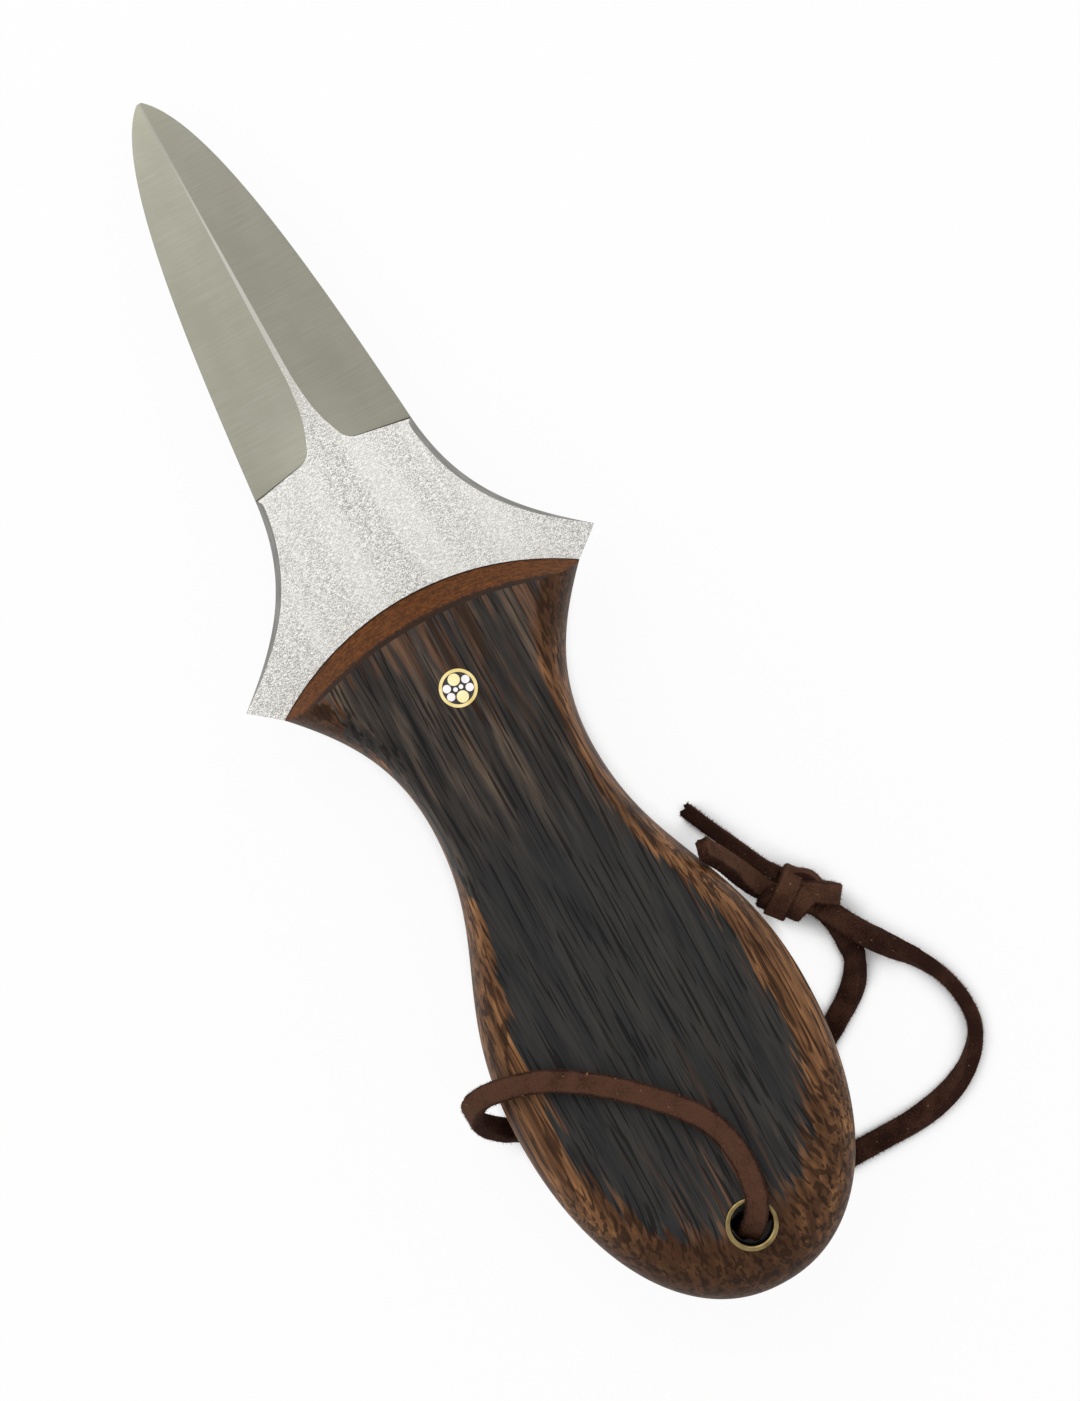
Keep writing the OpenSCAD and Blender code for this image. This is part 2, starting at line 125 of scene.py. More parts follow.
def feed(node, inputs):
    """Feeds a node, in its sockets' order or by name: values, hex colours, sockets or whole nodes."""
    free = [s for s in node.inputs if s.enabled]
    for name, given in inputs.items() if isinstance(inputs, dict) else enumerate(inputs):
        socket = free[name] if isinstance(name, int) else next(s for s in free if s.name == name)
        if isinstance(given, bpy.types.Node):
            given = next(s for s in given.outputs if s.enabled)
        if isinstance(given, bpy.types.NodeSocket):
            node.id_data.links.new(given, socket)
        else:
            socket.default_value = linear(given) if isinstance(given, str) else given


def add(tree, kind, inputs=(), stops=(), **settings):
    """Adds a node of a kind in the table, or by Blender's own name, with all that it needs."""
    title, usual = KINDS.get(kind, (kind, {}))
    node = tree.nodes.new(title)
    for name, value in {**usual, **settings}.items():
        setattr(node, name, value)
    feed(node, inputs)
    if stops:
        ramp = node.color_ramp.elements
        ramp.remove(ramp[1])
        ramp[0].position = stops[0][0]
        ramp[0].color = linear(stops[0][1])
        for at, colour in stops[1:]:
            ramp.new(at).color = linear(colour)
    return node


print("node helper ready, with", len(KINDS), "kinds by a plain word")

# %% [markdown]
# Materials
#
# A material starts from plain values on its shader. Its marks come from noise that reads the place on
# the object, so their size is given in real millimetres. An image could be wrapped round the piece
# instead, but noise needs no unwrapping, shows no seam and stays sharp up close.


# %% Helpers for materials
def start_material(name, colour, roughness, metallic=0.0, **more):
    """A material with its plain values set, and the place on the object in metres."""
    material = bpy.data.materials.new(name)
    material.use_nodes = True
    tree = material.node_tree
    shader = tree.nodes["Principled BSDF"]
    feed(shader, {"Base Color": colour, "Roughness": roughness, "Metallic": metallic})
    feed(shader, {title.replace("_", " "): value for title, value in more.items()})
    return material, tree, shader, add(tree, "ShaderNodeTexCoord").outputs["Object"]


def grain(tree, spot, size, detail=3.0, shift=(0, 0, 0), warp=0.0):
    """Noise from 0 to 1 whose marks are about size millimetres long on X, Y and Z."""
    scaled = add(tree, "ShaderNodeMapping",
                 {"Vector": spot, "Location": shift, "Scale": [1 / (s * MM) for s in size]})
    return add(tree, "ShaderNodeTexNoise",
               {"Vector": scaled, "Scale": 1.0, "Detail": detail, "Distortion": warp})


def fade(tree, value, low, high, first, second, *shares):
    """Goes smoothly from the first colour to the second as a value goes from low to high."""
    return add(tree, "mix", [add(tree, "range", [value, low, high, *shares]), first, second])


def cover(shader, colour, height, depth):
    """Gives a material its colour and a bump of that depth in millimetres."""
    bump = add(shader.id_data, "ShaderNodeBump",
               {"Strength": 1.0, "Distance": depth * MM, "Height": height})
    feed(shader, {"Base Color": colour, "Normal": bump})


print("material helpers ready")

# %% [markdown]
# Meshes from points
#
# A finished piece keeps its place in its own vertices. Modifiers could build some of the pieces, but a
# list of points says exactly where each edge lies. This helper turns points in millimetres into an
# object, welds it, turns its faces outwards and shades it smooth except at real corners.


# %% Helper for meshes
WELD = 1e-4
SLIVER = 1e-5


def make_piece(name, points, faces, materials, looks=None, sharp=30, marks=None):
    """A closed mesh from points in millimetres, shaded smooth below the sharp angle."""
    mesh = bpy.data.meshes.new(name)
    mesh.from_pydata([tuple(c * MM for c in p) for p in points], [], faces)
    for material in materials:
        mesh.materials.append(material)
    if looks:
        mesh.polygons.foreach_set("material_index", looks)
    if marks:
        mesh.attributes.new("cut_edge_and_shade", "FLOAT", "POINT").data.foreach_set("value", marks)
    work = bmesh.new()
    work.from_mesh(mesh)
    bmesh.ops.remove_doubles(work, verts=work.verts, dist=WELD * MM)
    bmesh.ops.dissolve_degenerate(work, edges=work.edges, dist=SLIVER * MM)
    bmesh.ops.recalc_face_normals(work, faces=work.faces)
    open_edges = sum(1 for e in work.edges if len(e.link_faces) != 2)
    work.to_mesh(mesh)
    work.free()
    mesh.shade_smooth()
    mesh.set_sharp_from_angle(angle=math.radians(sharp))
    piece = bpy.data.objects.new(name, mesh)
    scene.collection.objects.link(piece)
    print(name, len(mesh.polygons), "faces,", open_edges, "open edges")
    return piece


def steps(count):
    """Evenly spaced shares from 0 up to 1."""
    return [i / count for i in range(count + 1)]


print("mesh helper ready")

# %% [markdown]
# Suede
#
# The lace is split suede: a matt brown leather with a nap of loose fibres on every face. The nap takes
# the light softly at grazing angles, which a sheen gives. Its smooth face is the palest, its rough face
# is darker and its cut edges are the darkest, partly from their own colour and partly from painted shade
# on the lace's sides. Three materials could show that, but one material that reads a value from the mesh
# lets the tones run softly into each other.


# %% Leather
def split_suede(name, face, edge_and_shade_colour, sheen):
    """Split suede: matt and mottled, darker on its cut edges with painted shade, and a soft sheen from the
    nap.
    """
    material, tree, shader, spot = start_material(
        name, face, 0.95, Specular_IOR_Level=0.1, Sheen_Weight=sheen, Sheen_Roughness=0.5,
        Sheen_Tint="#7a5446")
    patches = grain(tree, spot, (3.0, 3.0, 3.0), detail=4.0)
    nap = grain(tree, spot, (0.16, 0.16, 0.16), shift=(5, 2, 8))
    crumbs = grain(tree, spot, (0.45, 0.45, 0.45), detail=0.0, shift=(9, 4, 6))
    # The cut-edge value darkens the lace's narrow sides: partly their own colour, partly painted shade.
    cut = add(tree, "ShaderNodeAttribute", attribute_name="cut_edge_and_shade").outputs["Fac"]
    uneven = add(tree, "range", [add(tree, "plus", [patches, nap]), 0.8, 1.25, -0.3, 0.6])
    skin = add(tree, "mix", [add(tree, "plus", [cut, uneven], use_clamp=True), face, edge_and_shade_colour])
    cover(shader, fade(tree, crumbs, 0.8, 0.84, skin, "#8d6a4e", 0.0, 0.7), nap, 0.08)
    return material


SUEDE = split_suede("split_suede", "#563a2c", "#2b1812", 0.12)
NAP = split_suede("suede_nap", "#5a3d2e", "#38211a", 0.1)
print("leather:", SUEDE.name, NAP.name)

# %% [markdown]
# The lace
#
# One flat lace goes through the lanyard tube and both its ends are tied together beside the handle. Its
# front run leaves the upper mouth, crosses the handle, turns over its edge and comes back under it. Its
# back run leaves the lower mouth and makes a loop on the table. A curve with a bevel could follow the
# same way, but a flat lace bends easily only one way and has to turn its face before it bends. So a
# strand is made here as a cross section carried along a smooth line, and a few keys say which way the
# flat face looks.

# %% Cross section of the lace
LACE_WIDE = 2.8
LACE_THICK = 1.8
LACE_CORNER = 0.35
LACE_STEP = 0.6
UNEVEN = 0.07
UNEVEN_SCALE = 0.8
RAGGED_SCALE = 2.5
LACE_SHARP = 50
FLESH_SIDE = 0.7
END_REACH = 0.12
END_SIZE = 0.7
TABLE = cad_low.z / MM

flat_half = LACE_WIDE / 2 - LACE_CORNER
edge_half = LACE_THICK / 2 - LACE_CORNER
# Each point's third value is its cut-edge share, which darkens the sides: partly colour, partly painted
# shade.
SECTION = []
for quarter, (a, u) in enumerate(((1, 1), (-1, 1), (-1, -1), (1, -1))):
    for k in range(4):
        angle = math.radians(90 * (quarter + k / 3))
        least = FLESH_SIDE if u < 0 else 0.0
        SECTION.append((a * flat_half + LACE_CORNER * math.cos(angle),
                        u * edge_half + LACE_CORNER * math.sin(angle), max(least, abs(math.cos(angle)))))
    if quarter % 2 == 0:
        SECTION += [(side * flat_half / 3, u * LACE_THICK / 2, least) for side in (a, -a)]
    else:
        SECTION.append((a * LACE_WIDE / 2, 0.0, 1.0))
print("the lace's section has", len(SECTION), "points")

# %% [markdown]
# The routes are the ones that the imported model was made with, point by point in millimetres, so that
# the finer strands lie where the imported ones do. The faces give the keys by the point's number.

# %% Routes of the lace
FRONT_ROUTE = [
    (-74, 0.5, 0), (-74.4, 0.6, 3), (-74.3, 0.4, 6), (-73.8, -0.3, 8.3), (-72.8, -1.2, 9.9),
    (-71.3, -2, 10.7), (-69.5, -2.5, 10.8), (-66.5, -2.8, 10.5), (-63, -2.4, 10.5), (-60, -1.3, 10.5),
    (-57, 0.8, 10.5), (-54, 3.6, 10.5), (-51.5, 6.3, 10.5), (-49, 9.4, 10.5), (-47, 12.4, 10.5),
    (-45.6, 15.6, 10.4), (-44.8, 18.6, 9.6), (-44.5, 21, 7.6), (-44.8, 22.6, 4.8), (-45.6, 23.4, 1.6),
    (-46.8, 23.4, -1.8), (-48.2, 22.5, -5), (-49.6, 20.8, -7.8), (-51, 18.4, -9.7), (-52.6, 15.4, -10.4),
    (-55.5, 10.6, -10.4), (-58.5, 4.9, -10.4), (-60.5, -1, -10.4), (-61.5, -7, -10.4),
    (-61.2, -13, -10.4), (-59, -18, -10.4), (-56.7, -21.8, -10.2), (-54.5, -24.8, -9.9),
    (-51.8, -26.6, -9.8), (-49.5, -27, -9.9), (-46.8, -26.8, -9.5), (-43.6, -25.8, -8.95)]
BACK_ROUTE = [
    (-74, 0.5, 0), (-73.8, 1.1, -2.5), (-73.7, 1.4, -5), (-73.7, 0.8, -7.8), (-73.6, -0.8, -9.6),
    (-73.4, -2.8, -10.4), (-73.2, -5, -10.4), (-72.9, -9, -10.4), (-72.6, -14, -10.4),
    (-72.6, -19, -10.4), (-72.5, -24, -10.1), (-71.6, -28.7, -9.9), (-69.5, -32.8, -9.8),
    (-66.2, -35.5, -9.9), (-62.5, -36, -9.9), (-58.7, -35.2, -9.9), (-55.3, -33.4, -9.4),
    (-52.4, -31.2, -8.8), (-49.6, -29.2, -7.8), (-46.8, -27.6, -7.3), (-43.6, -25.8, -7.05)]
UPPER_ROUTE = [(-37.9, -23.4, -8), (-36.3, -22.2, -8.1), (-33, -20.6, -8.8), (-29.5, -18.9, -9.5),
               (-25.8, -17.2, -9.8)]
LOWER_ROUTE = [(-39.4, -21.4, -8), (-37.9, -20.4, -7), (-35.6, -19.3, -3.4), (-33.2, -18.2, 1.2),
               (-30.8, -16.8, 5.5)]
FRONT_FACES = {
    0: (-1, 1, 0), 3: (-1, 1, 0.2), 5: (-0.4, 0.2, 1), 7: (0, 0, 1), 15: (0, 0, 1), 17: (0, 0.6, 1),
    19: (0, 1, 0.3), 21: (0, 1, -0.4), 23: (0, 0.3, -1), 24: (0, 0, -1), 30: (0, 0, -1),
    31: (0, -0.4, -1), 33: (0, -1, -0.5), 34: (0, -0.6, -1), 35: (0, 0, -1), 36: (0, 0, -1)}
BACK_FACES = {
    0: (-1, 1, 0), 2: (-0.2, 1, 0), 4: (-0.1, 1, -1), 6: (0, 0.1, -1), 9: (0, 0, -1), 10: (-0.3, 0, -1),
    11: (-1, -0.4, -1), 12: (-0.9, -0.6, -0.35), 13: (-0.5, -0.85, 0), 14: (0, -1, 0), 15: (0.3, -1, 0),
    16: (0.5, -0.8, -0.2), 17: (0.5, -0.8, -0.8), 18: (0.1, -0.2, -1), 19: (0, 0, -1), 20: (0, 0, -1)}
UPPER_FACES = {0: (-0.6, 0.8, 0), 4: (-0.6, 0.8, 0)}
LOWER_FACES = {0: (0, 0, 1), 2: (0, -0.6, 1), 3: (0, -1, 0.6), 4: (0, -1, 0.6)}
KNOT_WAY = (0.8, 0.6, 0.0)
UPPER_END = (0.9, 0.42, -0.1)
LOWER_END = (0.5, 0.25, 0.8)
UPPER_RAGGED = 0.7
LOWER_RAGGED = 0.4
print("route points:", len(FRONT_ROUTE), len(BACK_ROUTE), len(UPPER_ROUTE), len(LOWER_ROUTE))


# %% A smooth line through a route
def smooth_line(route, way_in, way_out):
    """A smooth line through the route, and each point's number along it."""
    places = np.array(route, float)
    before = places[0] - np.array(way_in) * np.linalg.norm(places[1] - places[0])
    way_out = np.array(Vector(way_out).normalized())
    after = places[-1] + way_out * np.linalg.norm(places[-1] - places[-2])
    held = np.vstack([before, places, after])
    line, numbers = [], []
    for i in range(len(places) - 1):
        a, b, c, d = held[i:i + 4]
        count = max(2, round(np.linalg.norm(c - b) / LACE_STEP))
        for t in steps(count)[:-1]:
            line.append(0.5 * (2 * b + (c - a) * t + (2 * a - 5 * b + 4 * c - d) * t ** 2
                               + (3 * b - a - 3 * c + d) * t ** 3))
            numbers.append(i + t)
    return np.array(line + [places[-1]]), np.array(numbers + [len(places) - 1.0])


def facing_along(faces, numbers):
    """Which way the flat face looks at each point, between the keys."""
    keys = sorted(faces)
    looks = np.array([tuple(Vector(faces[k]).normalized()) for k in keys])
    return np.stack([np.interp(numbers, keys, looks[:, c]) for c in range(3)], axis=1)


print("routes can be drawn as lines")


# %% A strand
def sweep(line, ups, ragged=0.0):
    """Points, faces and cut-edge values of a strand with softly rounded ends."""
    ways = np.gradient(line, axis=0)
    ways /= np.linalg.norm(ways, axis=1)[:, None]
    rings = [(line[0] - ways[0] * END_REACH, ways[0], ups[0], END_SIZE)]
    rings += [(line[i], ways[i], ups[i], 1.0) for i in range(len(line))]
    rings.append((line[-1] + ways[-1] * END_REACH, ways[-1], ups[-1], END_SIZE))
    points, marks = [], []
    for r, (at, way, up, size) in enumerate(rings):
        up = up - way * np.dot(up, way)
        up /= np.linalg.norm(up)
        across = np.cross(up, way)
        for a, u, cut in SECTION:
            out = across * a * size + up * u * size
            spot = at + out
            spot = spot + out / np.linalg.norm(out) * UNEVEN * noise.noise(Vector(spot) * UNEVEN_SCALE)
            if ragged and r >= len(rings) - 3:
                at_end = Vector(spot) * RAGGED_SCALE + Vector((3, 1, 4))
                spot = spot + way * ragged * noise.noise(at_end)
            points.append((spot[0], spot[1], max(spot[2], TABLE)))
            marks.append(cut)
    wide = len(SECTION)
    faces = [tuple(range(wide)), tuple(range(wide * (len(rings) - 1), wide * len(rings)))]
    for r in range(len(rings) - 1):
        for i in range(wide):
            j = (i + 1) % wide
            faces.append((r * wide + i, r * wide + j, (r + 1) * wide + j, (r + 1) * wide + i))
    return points, faces, marks


print("strands can be swept")


# %% Pieces of the lace
def joined(shells):
    """Several shells as one list of points, of faces and of the values that go with them."""
    points, faces, marks = [], [], []
    for new_points, new_faces, new_marks in shells:
        faces += [tuple(i + len(points) for i in f) for f in new_faces]
        points += new_points
        marks += new_marks
    return points, faces, marks


def length_of(line):
    """Length of a line of points in millimetres."""
    return float(np.linalg.norm(np.diff(line, axis=0), axis=1).sum())


lace_shells = []


def lace_piece(node, shells):
    """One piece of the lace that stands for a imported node."""
    points, faces, marks = joined(shells)
    lace_shells.append((points, faces, marks))
    piece = make_piece(node + "_fine", points, faces, [SUEDE], sharp=LACE_SHARP, marks=marks)
    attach(piece, "root")
    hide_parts(node)
    return piece


print("lace helpers ready")

# %% Runs and tails
front_line, front_numbers = smooth_line(FRONT_ROUTE, (0, 0, 1), KNOT_WAY)
back_line, back_numbers = smooth_line(BACK_ROUTE, (0, 0, -1), KNOT_WAY)
upper_line, upper_numbers = smooth_line(UPPER_ROUTE, KNOT_WAY, UPPER_END)
lower_line, lower_numbers = smooth_line(LOWER_ROUTE, KNOT_WAY, LOWER_END)
front_ups = facing_along(FRONT_FACES, front_numbers)
back_ups = facing_along(BACK_FACES, back_numbers)
upper_ups = facing_along(UPPER_FACES, upper_numbers)
lower_ups = facing_along(LOWER_FACES, lower_numbers)
front_run = lace_piece("lace_front_run", [sweep(front_line, front_ups)])
back_run = lace_piece("lace_back_run", [sweep(back_line, back_ups)])
upper_tail = lace_piece("lace_tail_upper", [sweep(upper_line, upper_ups, UPPER_RAGGED)])
lower_tail = lace_piece("lace_tail_lower", [sweep(lower_line, lower_ups, LOWER_RAGGED)])
lace_lines = (front_line, back_line, upper_line, lower_line)
print("lengths in mm:", [round(length_of(line), 1) for line in lace_lines])

# %% [markdown]
# The knot
#
# Both ends are tied together in one overhand knot, so what shows is lace wrapped round a core. A
# simulation could tie one, but it would not lie as the photograph shows, so each strand is placed. A
# band is an arc round the knot's own axis, given by its place along the axis, how far it leans, its
# radius and where it starts and stops, and its ends dive back into the core. An arch on edge goes round
# the upper side, a flap with a square end lies over the bands, and a fold stands out beside the runs.

# %% Bands of the knot
KNOT_MIDDLE = np.array((-41.2, -24.0, -8.0))
AXIS = np.array(KNOT_WAY)
ASIDE = np.array((-0.6, 0.8, 0.0))
UPRIGHT = np.array((0.0, 0.0, 1.0))
BANDS = [
    (1.0, 0.3, 2.2, -70, 200),
    (-1.3, -0.9, 2.1, -75, 250),
    (2.9, 0.4, 2.4, 125, 265)]
DIVE = 0.16
DIVE_POWER = 0.7
DIVE_DRIFT = 0.9
SUNK = 0.55
RISE = 0.45


def in_knot(a, b, c):
    """A point given along the knot's axis, aside from it and above it."""
    return KNOT_MIDDLE + AXIS * a + ASIDE * b + UPRIGHT * c


def band(along, lean, radius, start, stop):
    """One band of the knot, from one angle to another round its axis."""
    line, ups = [], []
    for t in steps(max(12, round((stop - start) / 8))):
        angle = math.radians(start + (stop - start) * t)
        sunk = min(1.0, t / DIVE, (1 - t) / DIVE)
        drift = lean * math.cos(angle) - DIVE_DRIFT * (1 - sunk) * np.sign(along)
        reach = radius * (SUNK + RISE * sunk ** DIVE_POWER)
        line.append(in_knot(along + drift, -reach * math.cos(angle), reach * math.sin(angle)))
        ups.append(UPRIGHT * math.sin(angle) - ASIDE * math.cos(angle))
    return sweep(np.array(line), np.array(ups))


def bent_strand(route, ups):
    """A short strand of the knot through a few places, with its flat face turning between them."""
    line, numbers = smooth_line([in_knot(*p) for p in route], (0, 0, 0), AXIS)
    looks = np.array([AXIS * a + ASIDE * b + UPRIGHT * c for a, b, c in ups])
    facing = np.stack([np.interp(numbers, range(len(ups)), looks[:, c]) for c in range(3)], axis=1)
    return sweep(line[:-1], facing[:-1])


ARCH_RADIUS = 2.2
ARCH_START = -25
ARCH_TURN = 230
arch_turns = [math.radians(ARCH_START + ARCH_TURN * t) for t in steps(14)]
arch = [(-0.5 + ARCH_RADIUS * math.cos(f), -0.2 - ARCH_RADIUS * math.sin(f), 0.7) for f in arch_turns]
arch_ups = [(math.cos(f), -math.sin(f), 0.25) for f in arch_turns]
FLAP = [(0.9, -1.6, 1.5), (1.1, -0.2, 2.2), (1.2, 1.4, 2.15), (1.3, 2.7, 1.6), (1.35, 3.5, 1.0)]
FLAP_UPS = [(0, -0.5, 1), (0, 0, 1), (0, 0.2, 1), (0, 0.4, 1), (0, 0.5, 1)]
FOLD = [(-0.4, -0.6, 1.4), (-2.0, -1.2, 2.1), (-3.2, -1.6, 2.1), (-4.1, -1.9, 1.5), (-4.3, -2.0, 0.2),
        (-3.5, -1.8, -0.9), (-2.0, -1.2, -1.2)]
FOLD_UPS = [(0, 0, 1), (0, 0, 1), (-0.2, 0, 1), (-0.8, -0.2, 0.8), (-1, -0.3, -0.1),
            (-0.4, 0, -1), (0, 0, -1)]
LOWER_CORE = [(-3.3, 0, -0.95), (0, -0.5, -0.6), (3.6, -1.5, 0)]
LOWER_CORE_UPS = [(0, 0, 1), (0.1, -0.4, 0.8), (0, -1, 0)]
UPPER_CORE = [(-3.3, 0, 0.95), (0, 0.4, 0.6), (3.6, 1.0, 0)]
UPPER_CORE_UPS = [(0, 0, 1)] * 3
STRANDS = [(arch, arch_ups), (FLAP, FLAP_UPS), (FOLD, FOLD_UPS), (LOWER_CORE, LOWER_CORE_UPS),
           (UPPER_CORE, UPPER_CORE_UPS)]
knot = lace_piece("lace_knot", [band(*b) for b in BANDS] + [bent_strand(*s) for s in STRANDS])

# %% [markdown]
# The nap
#
# Loose fibres stand up from every face of the suede and blur its outline. Blender's hair could make
# them, but it is no mesh. Geometry Nodes scatter them instead: points are spread over the lace, and a
# thin spike is placed on each, leaning at random. Real fibres are about a fiftieth of a millimetre
# thick, so these are drawn coarser and fewer, so that they show. The lace's underside, which lies flat
# on the table or on the wood, gets none.

# %% Nap by Geometry Nodes
UNDERSIDE = -0.6
SHORTEST = 0.4
LONGEST = 1.2
NAP_SIZES = {"Fibres per square metre": 9.0e6, "Fibre length": 0.34 * MM, "Fibre radius": 0.024 * MM,
             "Lean": 0.9, "Seed": 11}


def nap_tree():
    """A node tree that grows short leaning fibres on a surface."""
    tree = bpy.data.node_groups.new("nap_on_suede", "GeometryNodeTree")
    tree.interface.new_socket("Geometry", in_out="INPUT", socket_type="NodeSocketGeometry")
    for title in ("Fibres per square metre", "Fibre length", "Fibre radius", "Lean"):
        tree.interface.new_socket(title, in_out="INPUT", socket_type="NodeSocketFloat")
    tree.interface.new_socket("Seed", in_out="INPUT", socket_type="NodeSocketInt")
    tree.interface.new_socket("Geometry", in_out="OUTPUT", socket_type="NodeSocketGeometry")
    given = add(tree, "NodeGroupInput").outputs
    upward = add(tree, "parts", [add(tree, "GeometryNodeInputNormal")]).outputs["Z"]
    not_under = add(tree, "FunctionNodeCompare", [upward, UNDERSIDE],
                    data_type="FLOAT", operation="GREATER_THAN")
    spread = add(tree, "GeometryNodeDistributePointsOnFaces",
                 {"Mesh": given["Geometry"], "Density": given["Fibres per square metre"],
                  "Selection": not_under, "Seed": given["Seed"]})
    spike = add(tree, "GeometryNodeMeshCone",
                {"Vertices": 3, "Radius Top": 0.0, "Radius Bottom": given["Fibre radius"],
                 "Depth": given["Fibre length"]}, fill_type="NONE")
    back = add(tree, "times", [given["Lean"], -1.0])
    leaning = add(tree, "FunctionNodeRandomValue",
                  {"Min": back, "Max": given["Lean"], "Seed": given["Seed"]}, data_type="FLOAT_VECTOR")
    turned = add(tree, "FunctionNodeRotateRotation",
                 {"Rotation": spread.outputs["Rotation"],
                  "Rotate By": add(tree, "FunctionNodeEulerToRotation", [leaning])},
                 rotation_space="LOCAL")
    size = add(tree, "FunctionNodeRandomValue",
               {"Min": SHORTEST, "Max": LONGEST, "Seed": given["Seed"]}, data_type="FLOAT")
    grown = add(tree, "GeometryNodeInstanceOnPoints",
                {"Points": spread, "Instance": spike, "Rotation": turned, "Scale": size})
    real = add(tree, "GeometryNodeRealizeInstances", [grown])
    dressed = add(tree, "GeometryNodeSetMaterial", {"Geometry": real, "Material": NAP})
    add(tree, "NodeGroupOutput", [dressed])
    return tree


skin = make_piece("lace_nap", *joined(lace_shells)[:2], [NAP])
grow = skin.modifiers.new("nap", "NODES")
grow.node_group = nap_tree()
sockets = {s.name: s.identifier for s in grow.node_group.interface.items_tree if s.in_out == "INPUT"}
for title, value in NAP_SIZES.items():
    grow[sockets[title]] = value
bpy.context.view_layer.update()
fibres_mesh = bpy.data.meshes.new_from_object(skin.evaluated_get(bpy.context.evaluated_depsgraph_get()))
skin.modifiers.clear()
skin.data = fibres_mesh
fibres_mesh.name = "lace_nap"
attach(skin, "root")
print("nap:", len(fibres_mesh.polygons), "faces")

# %% [markdown]
# The lace under the handle
#
# The photograph shows the front run over the handle and the back run's loop. What it hides is the way
# under the handle, which is drawn along the shortest easy curve between the two places where the lace
# is seen.

# %% [markdown]
# Light and floor
#
# The photograph is a product shot on white, with light from all round and hardly any shadow. An even
# world gives most of the light, and one large soft lamp beyond the tip gives the shapes a direction.
# The floor is white paper. Rays from the camera, and those that metal reflects or glass lets through,
# see the world and the paper lightened, so that both stay near white while the knife is lit at a plain
# level and still casts its soft shadow. Close under the knife the paper isn't lightened, and under the
# lanyard tube, whose bore the photograph shows dark, a soft painted shadow darkens the paper.

# %% World, lamp and floor
WORLD_STRENGTH = 0.72
LAMP_SIZE = 0.5
LAMP_POWER = 1.3
LAMP_PLACE = (0.34, 0.08, 0.5)
FLOOR_SIZE = 3.0
FLOOR_LIFT = 0.94
SHADE_REACH = 0.005
SHUT_IN = 0.42
IN_THE_OPEN = 0.8
# TUBE_FOOT, TUBE_SHADE, TUBE_FADE and SHADED_PAPER place, size and colour the painted shadow under the
# tube.
TUBE_FOOT = (-0.0744, 0.0, cad_low.z)
TUBE_SHADE = 0.0022
TUBE_FADE = 0.0018
PAPER = "#f2f2f2"
SHADED_PAPER = "#454240"
WHITE = "#ffffff"


def shown_rays(tree):
    """1 for rays from the camera and for those that metal reflects or glass lets through, else 0."""
    path = add(tree, "ShaderNodeLightPath").outputs
    shown = add(tree, "larger", [path["Is Camera Ray"], path["Is Glossy Ray"]])
    return add(tree, "larger", [shown, path["Is Transmission Ray"]])


world = bpy.data.worlds.new("studio")
scene.world = world
world.use_nodes = True
sky = world.node_tree
sky.nodes.clear()
even = add(sky, "ShaderNodeBackground", {"Color": WHITE, "Strength": WORLD_STRENGTH})
white = add(sky, "ShaderNodeBackground", {"Color": WHITE, "Strength": 1.0})
add(sky, "ShaderNodeOutputWorld", [add(sky, "blend", [shown_rays(sky), even, white])])

lamp_data = bpy.data.lights.new("soft_lamp", "AREA")
lamp_data.shape = "SQUARE"
lamp_data.size = LAMP_SIZE
lamp_data.energy = LAMP_POWER
lamp = bpy.data.objects.new("soft_lamp", lamp_data)
scene.collection.objects.link(lamp)
lamp.location = LAMP_PLACE
lamp.rotation_euler = (-Vector(LAMP_PLACE)).to_track_quat("-Z", "Y").to_euler()


def paper():
    """White paper: matt, with no pattern that shows at this distance, and a painted shadow under the tube.
    """
    material, tree, shader, spot = start_material("white_paper", PAPER, 0.9)
    off_tube = add(tree, "distance", [spot, TUBE_FOOT])
    outside_painted_shadow = add(tree, "range", [off_tube, TUBE_SHADE, TUBE_SHADE + TUBE_FADE])
    open_sky = add(tree, "ShaderNodeAmbientOcclusion", {"Distance": SHADE_REACH}, samples=8)
    clear = add(tree, "range", [open_sky.outputs["AO"], SHUT_IN, IN_THE_OPEN, 0.0, FLOOR_LIFT])
    share = add(tree, "times", [shown_rays(tree), add(tree, "times", [clear, outside_painted_shadow])])
    # Painted shadow: the paper's colour goes to SHADED_PAPER in a soft disc under the tube, with no
    # lightening there.
    cover(shader, add(tree, "mix", [outside_painted_shadow, SHADED_PAPER, PAPER]), grain(tree, spot, (0.4, 0.4, 0.4)), 0.01)
    glow = add(tree, "ShaderNodeEmission", {"Color": WHITE, "Strength": 1.0})
    feed(tree.nodes["Material Output"], {"Surface": add(tree, "blend", [share, shader, glow])})
    return material


half_floor = FLOOR_SIZE / 2
floor_mesh = bpy.data.meshes.new("floor")
floor_mesh.from_pydata(
    [(x, y, cad_low.z) for x, y in ((-half_floor, -half_floor), (half_floor, -half_floor),
                                    (half_floor, half_floor), (-half_floor, half_floor))],
    [], [(0, 1, 2, 3)])
floor_mesh.materials.append(paper())
floor = bpy.data.objects.new("floor", floor_mesh)
scene.collection.objects.link(floor)
print("floor at", round(cad_low.z / MM, 2), "mm")

# %% [markdown]
# Two finishes on one piece of steel
#
# The blade and the guard are the same stainless plate. The guard keeps the finish of the sheet, brushed
# across the knife, and scatters light into a bright speckle. The same finish runs up the ridge as a
# narrow land, which is duller and greyer towards the tip. The bevels were ground on a fine belt
# afterwards, so they are smoother, greyer and have only faint lines. The cut edges are filed, and the
# corner where a bevel ends has a darker steel, which is painted shade in that corner. All are metals,
# so the colour sits in the reflection. The scratches are far too fine to be cut in the mesh, so they
# are a bump of marks that are long one way.


# %% Steel
RIDGE_BRIGHT = 33.0
RIDGE_DULL = 52.0
TIP_FROM = 60.0
TIP_TO = 80.0


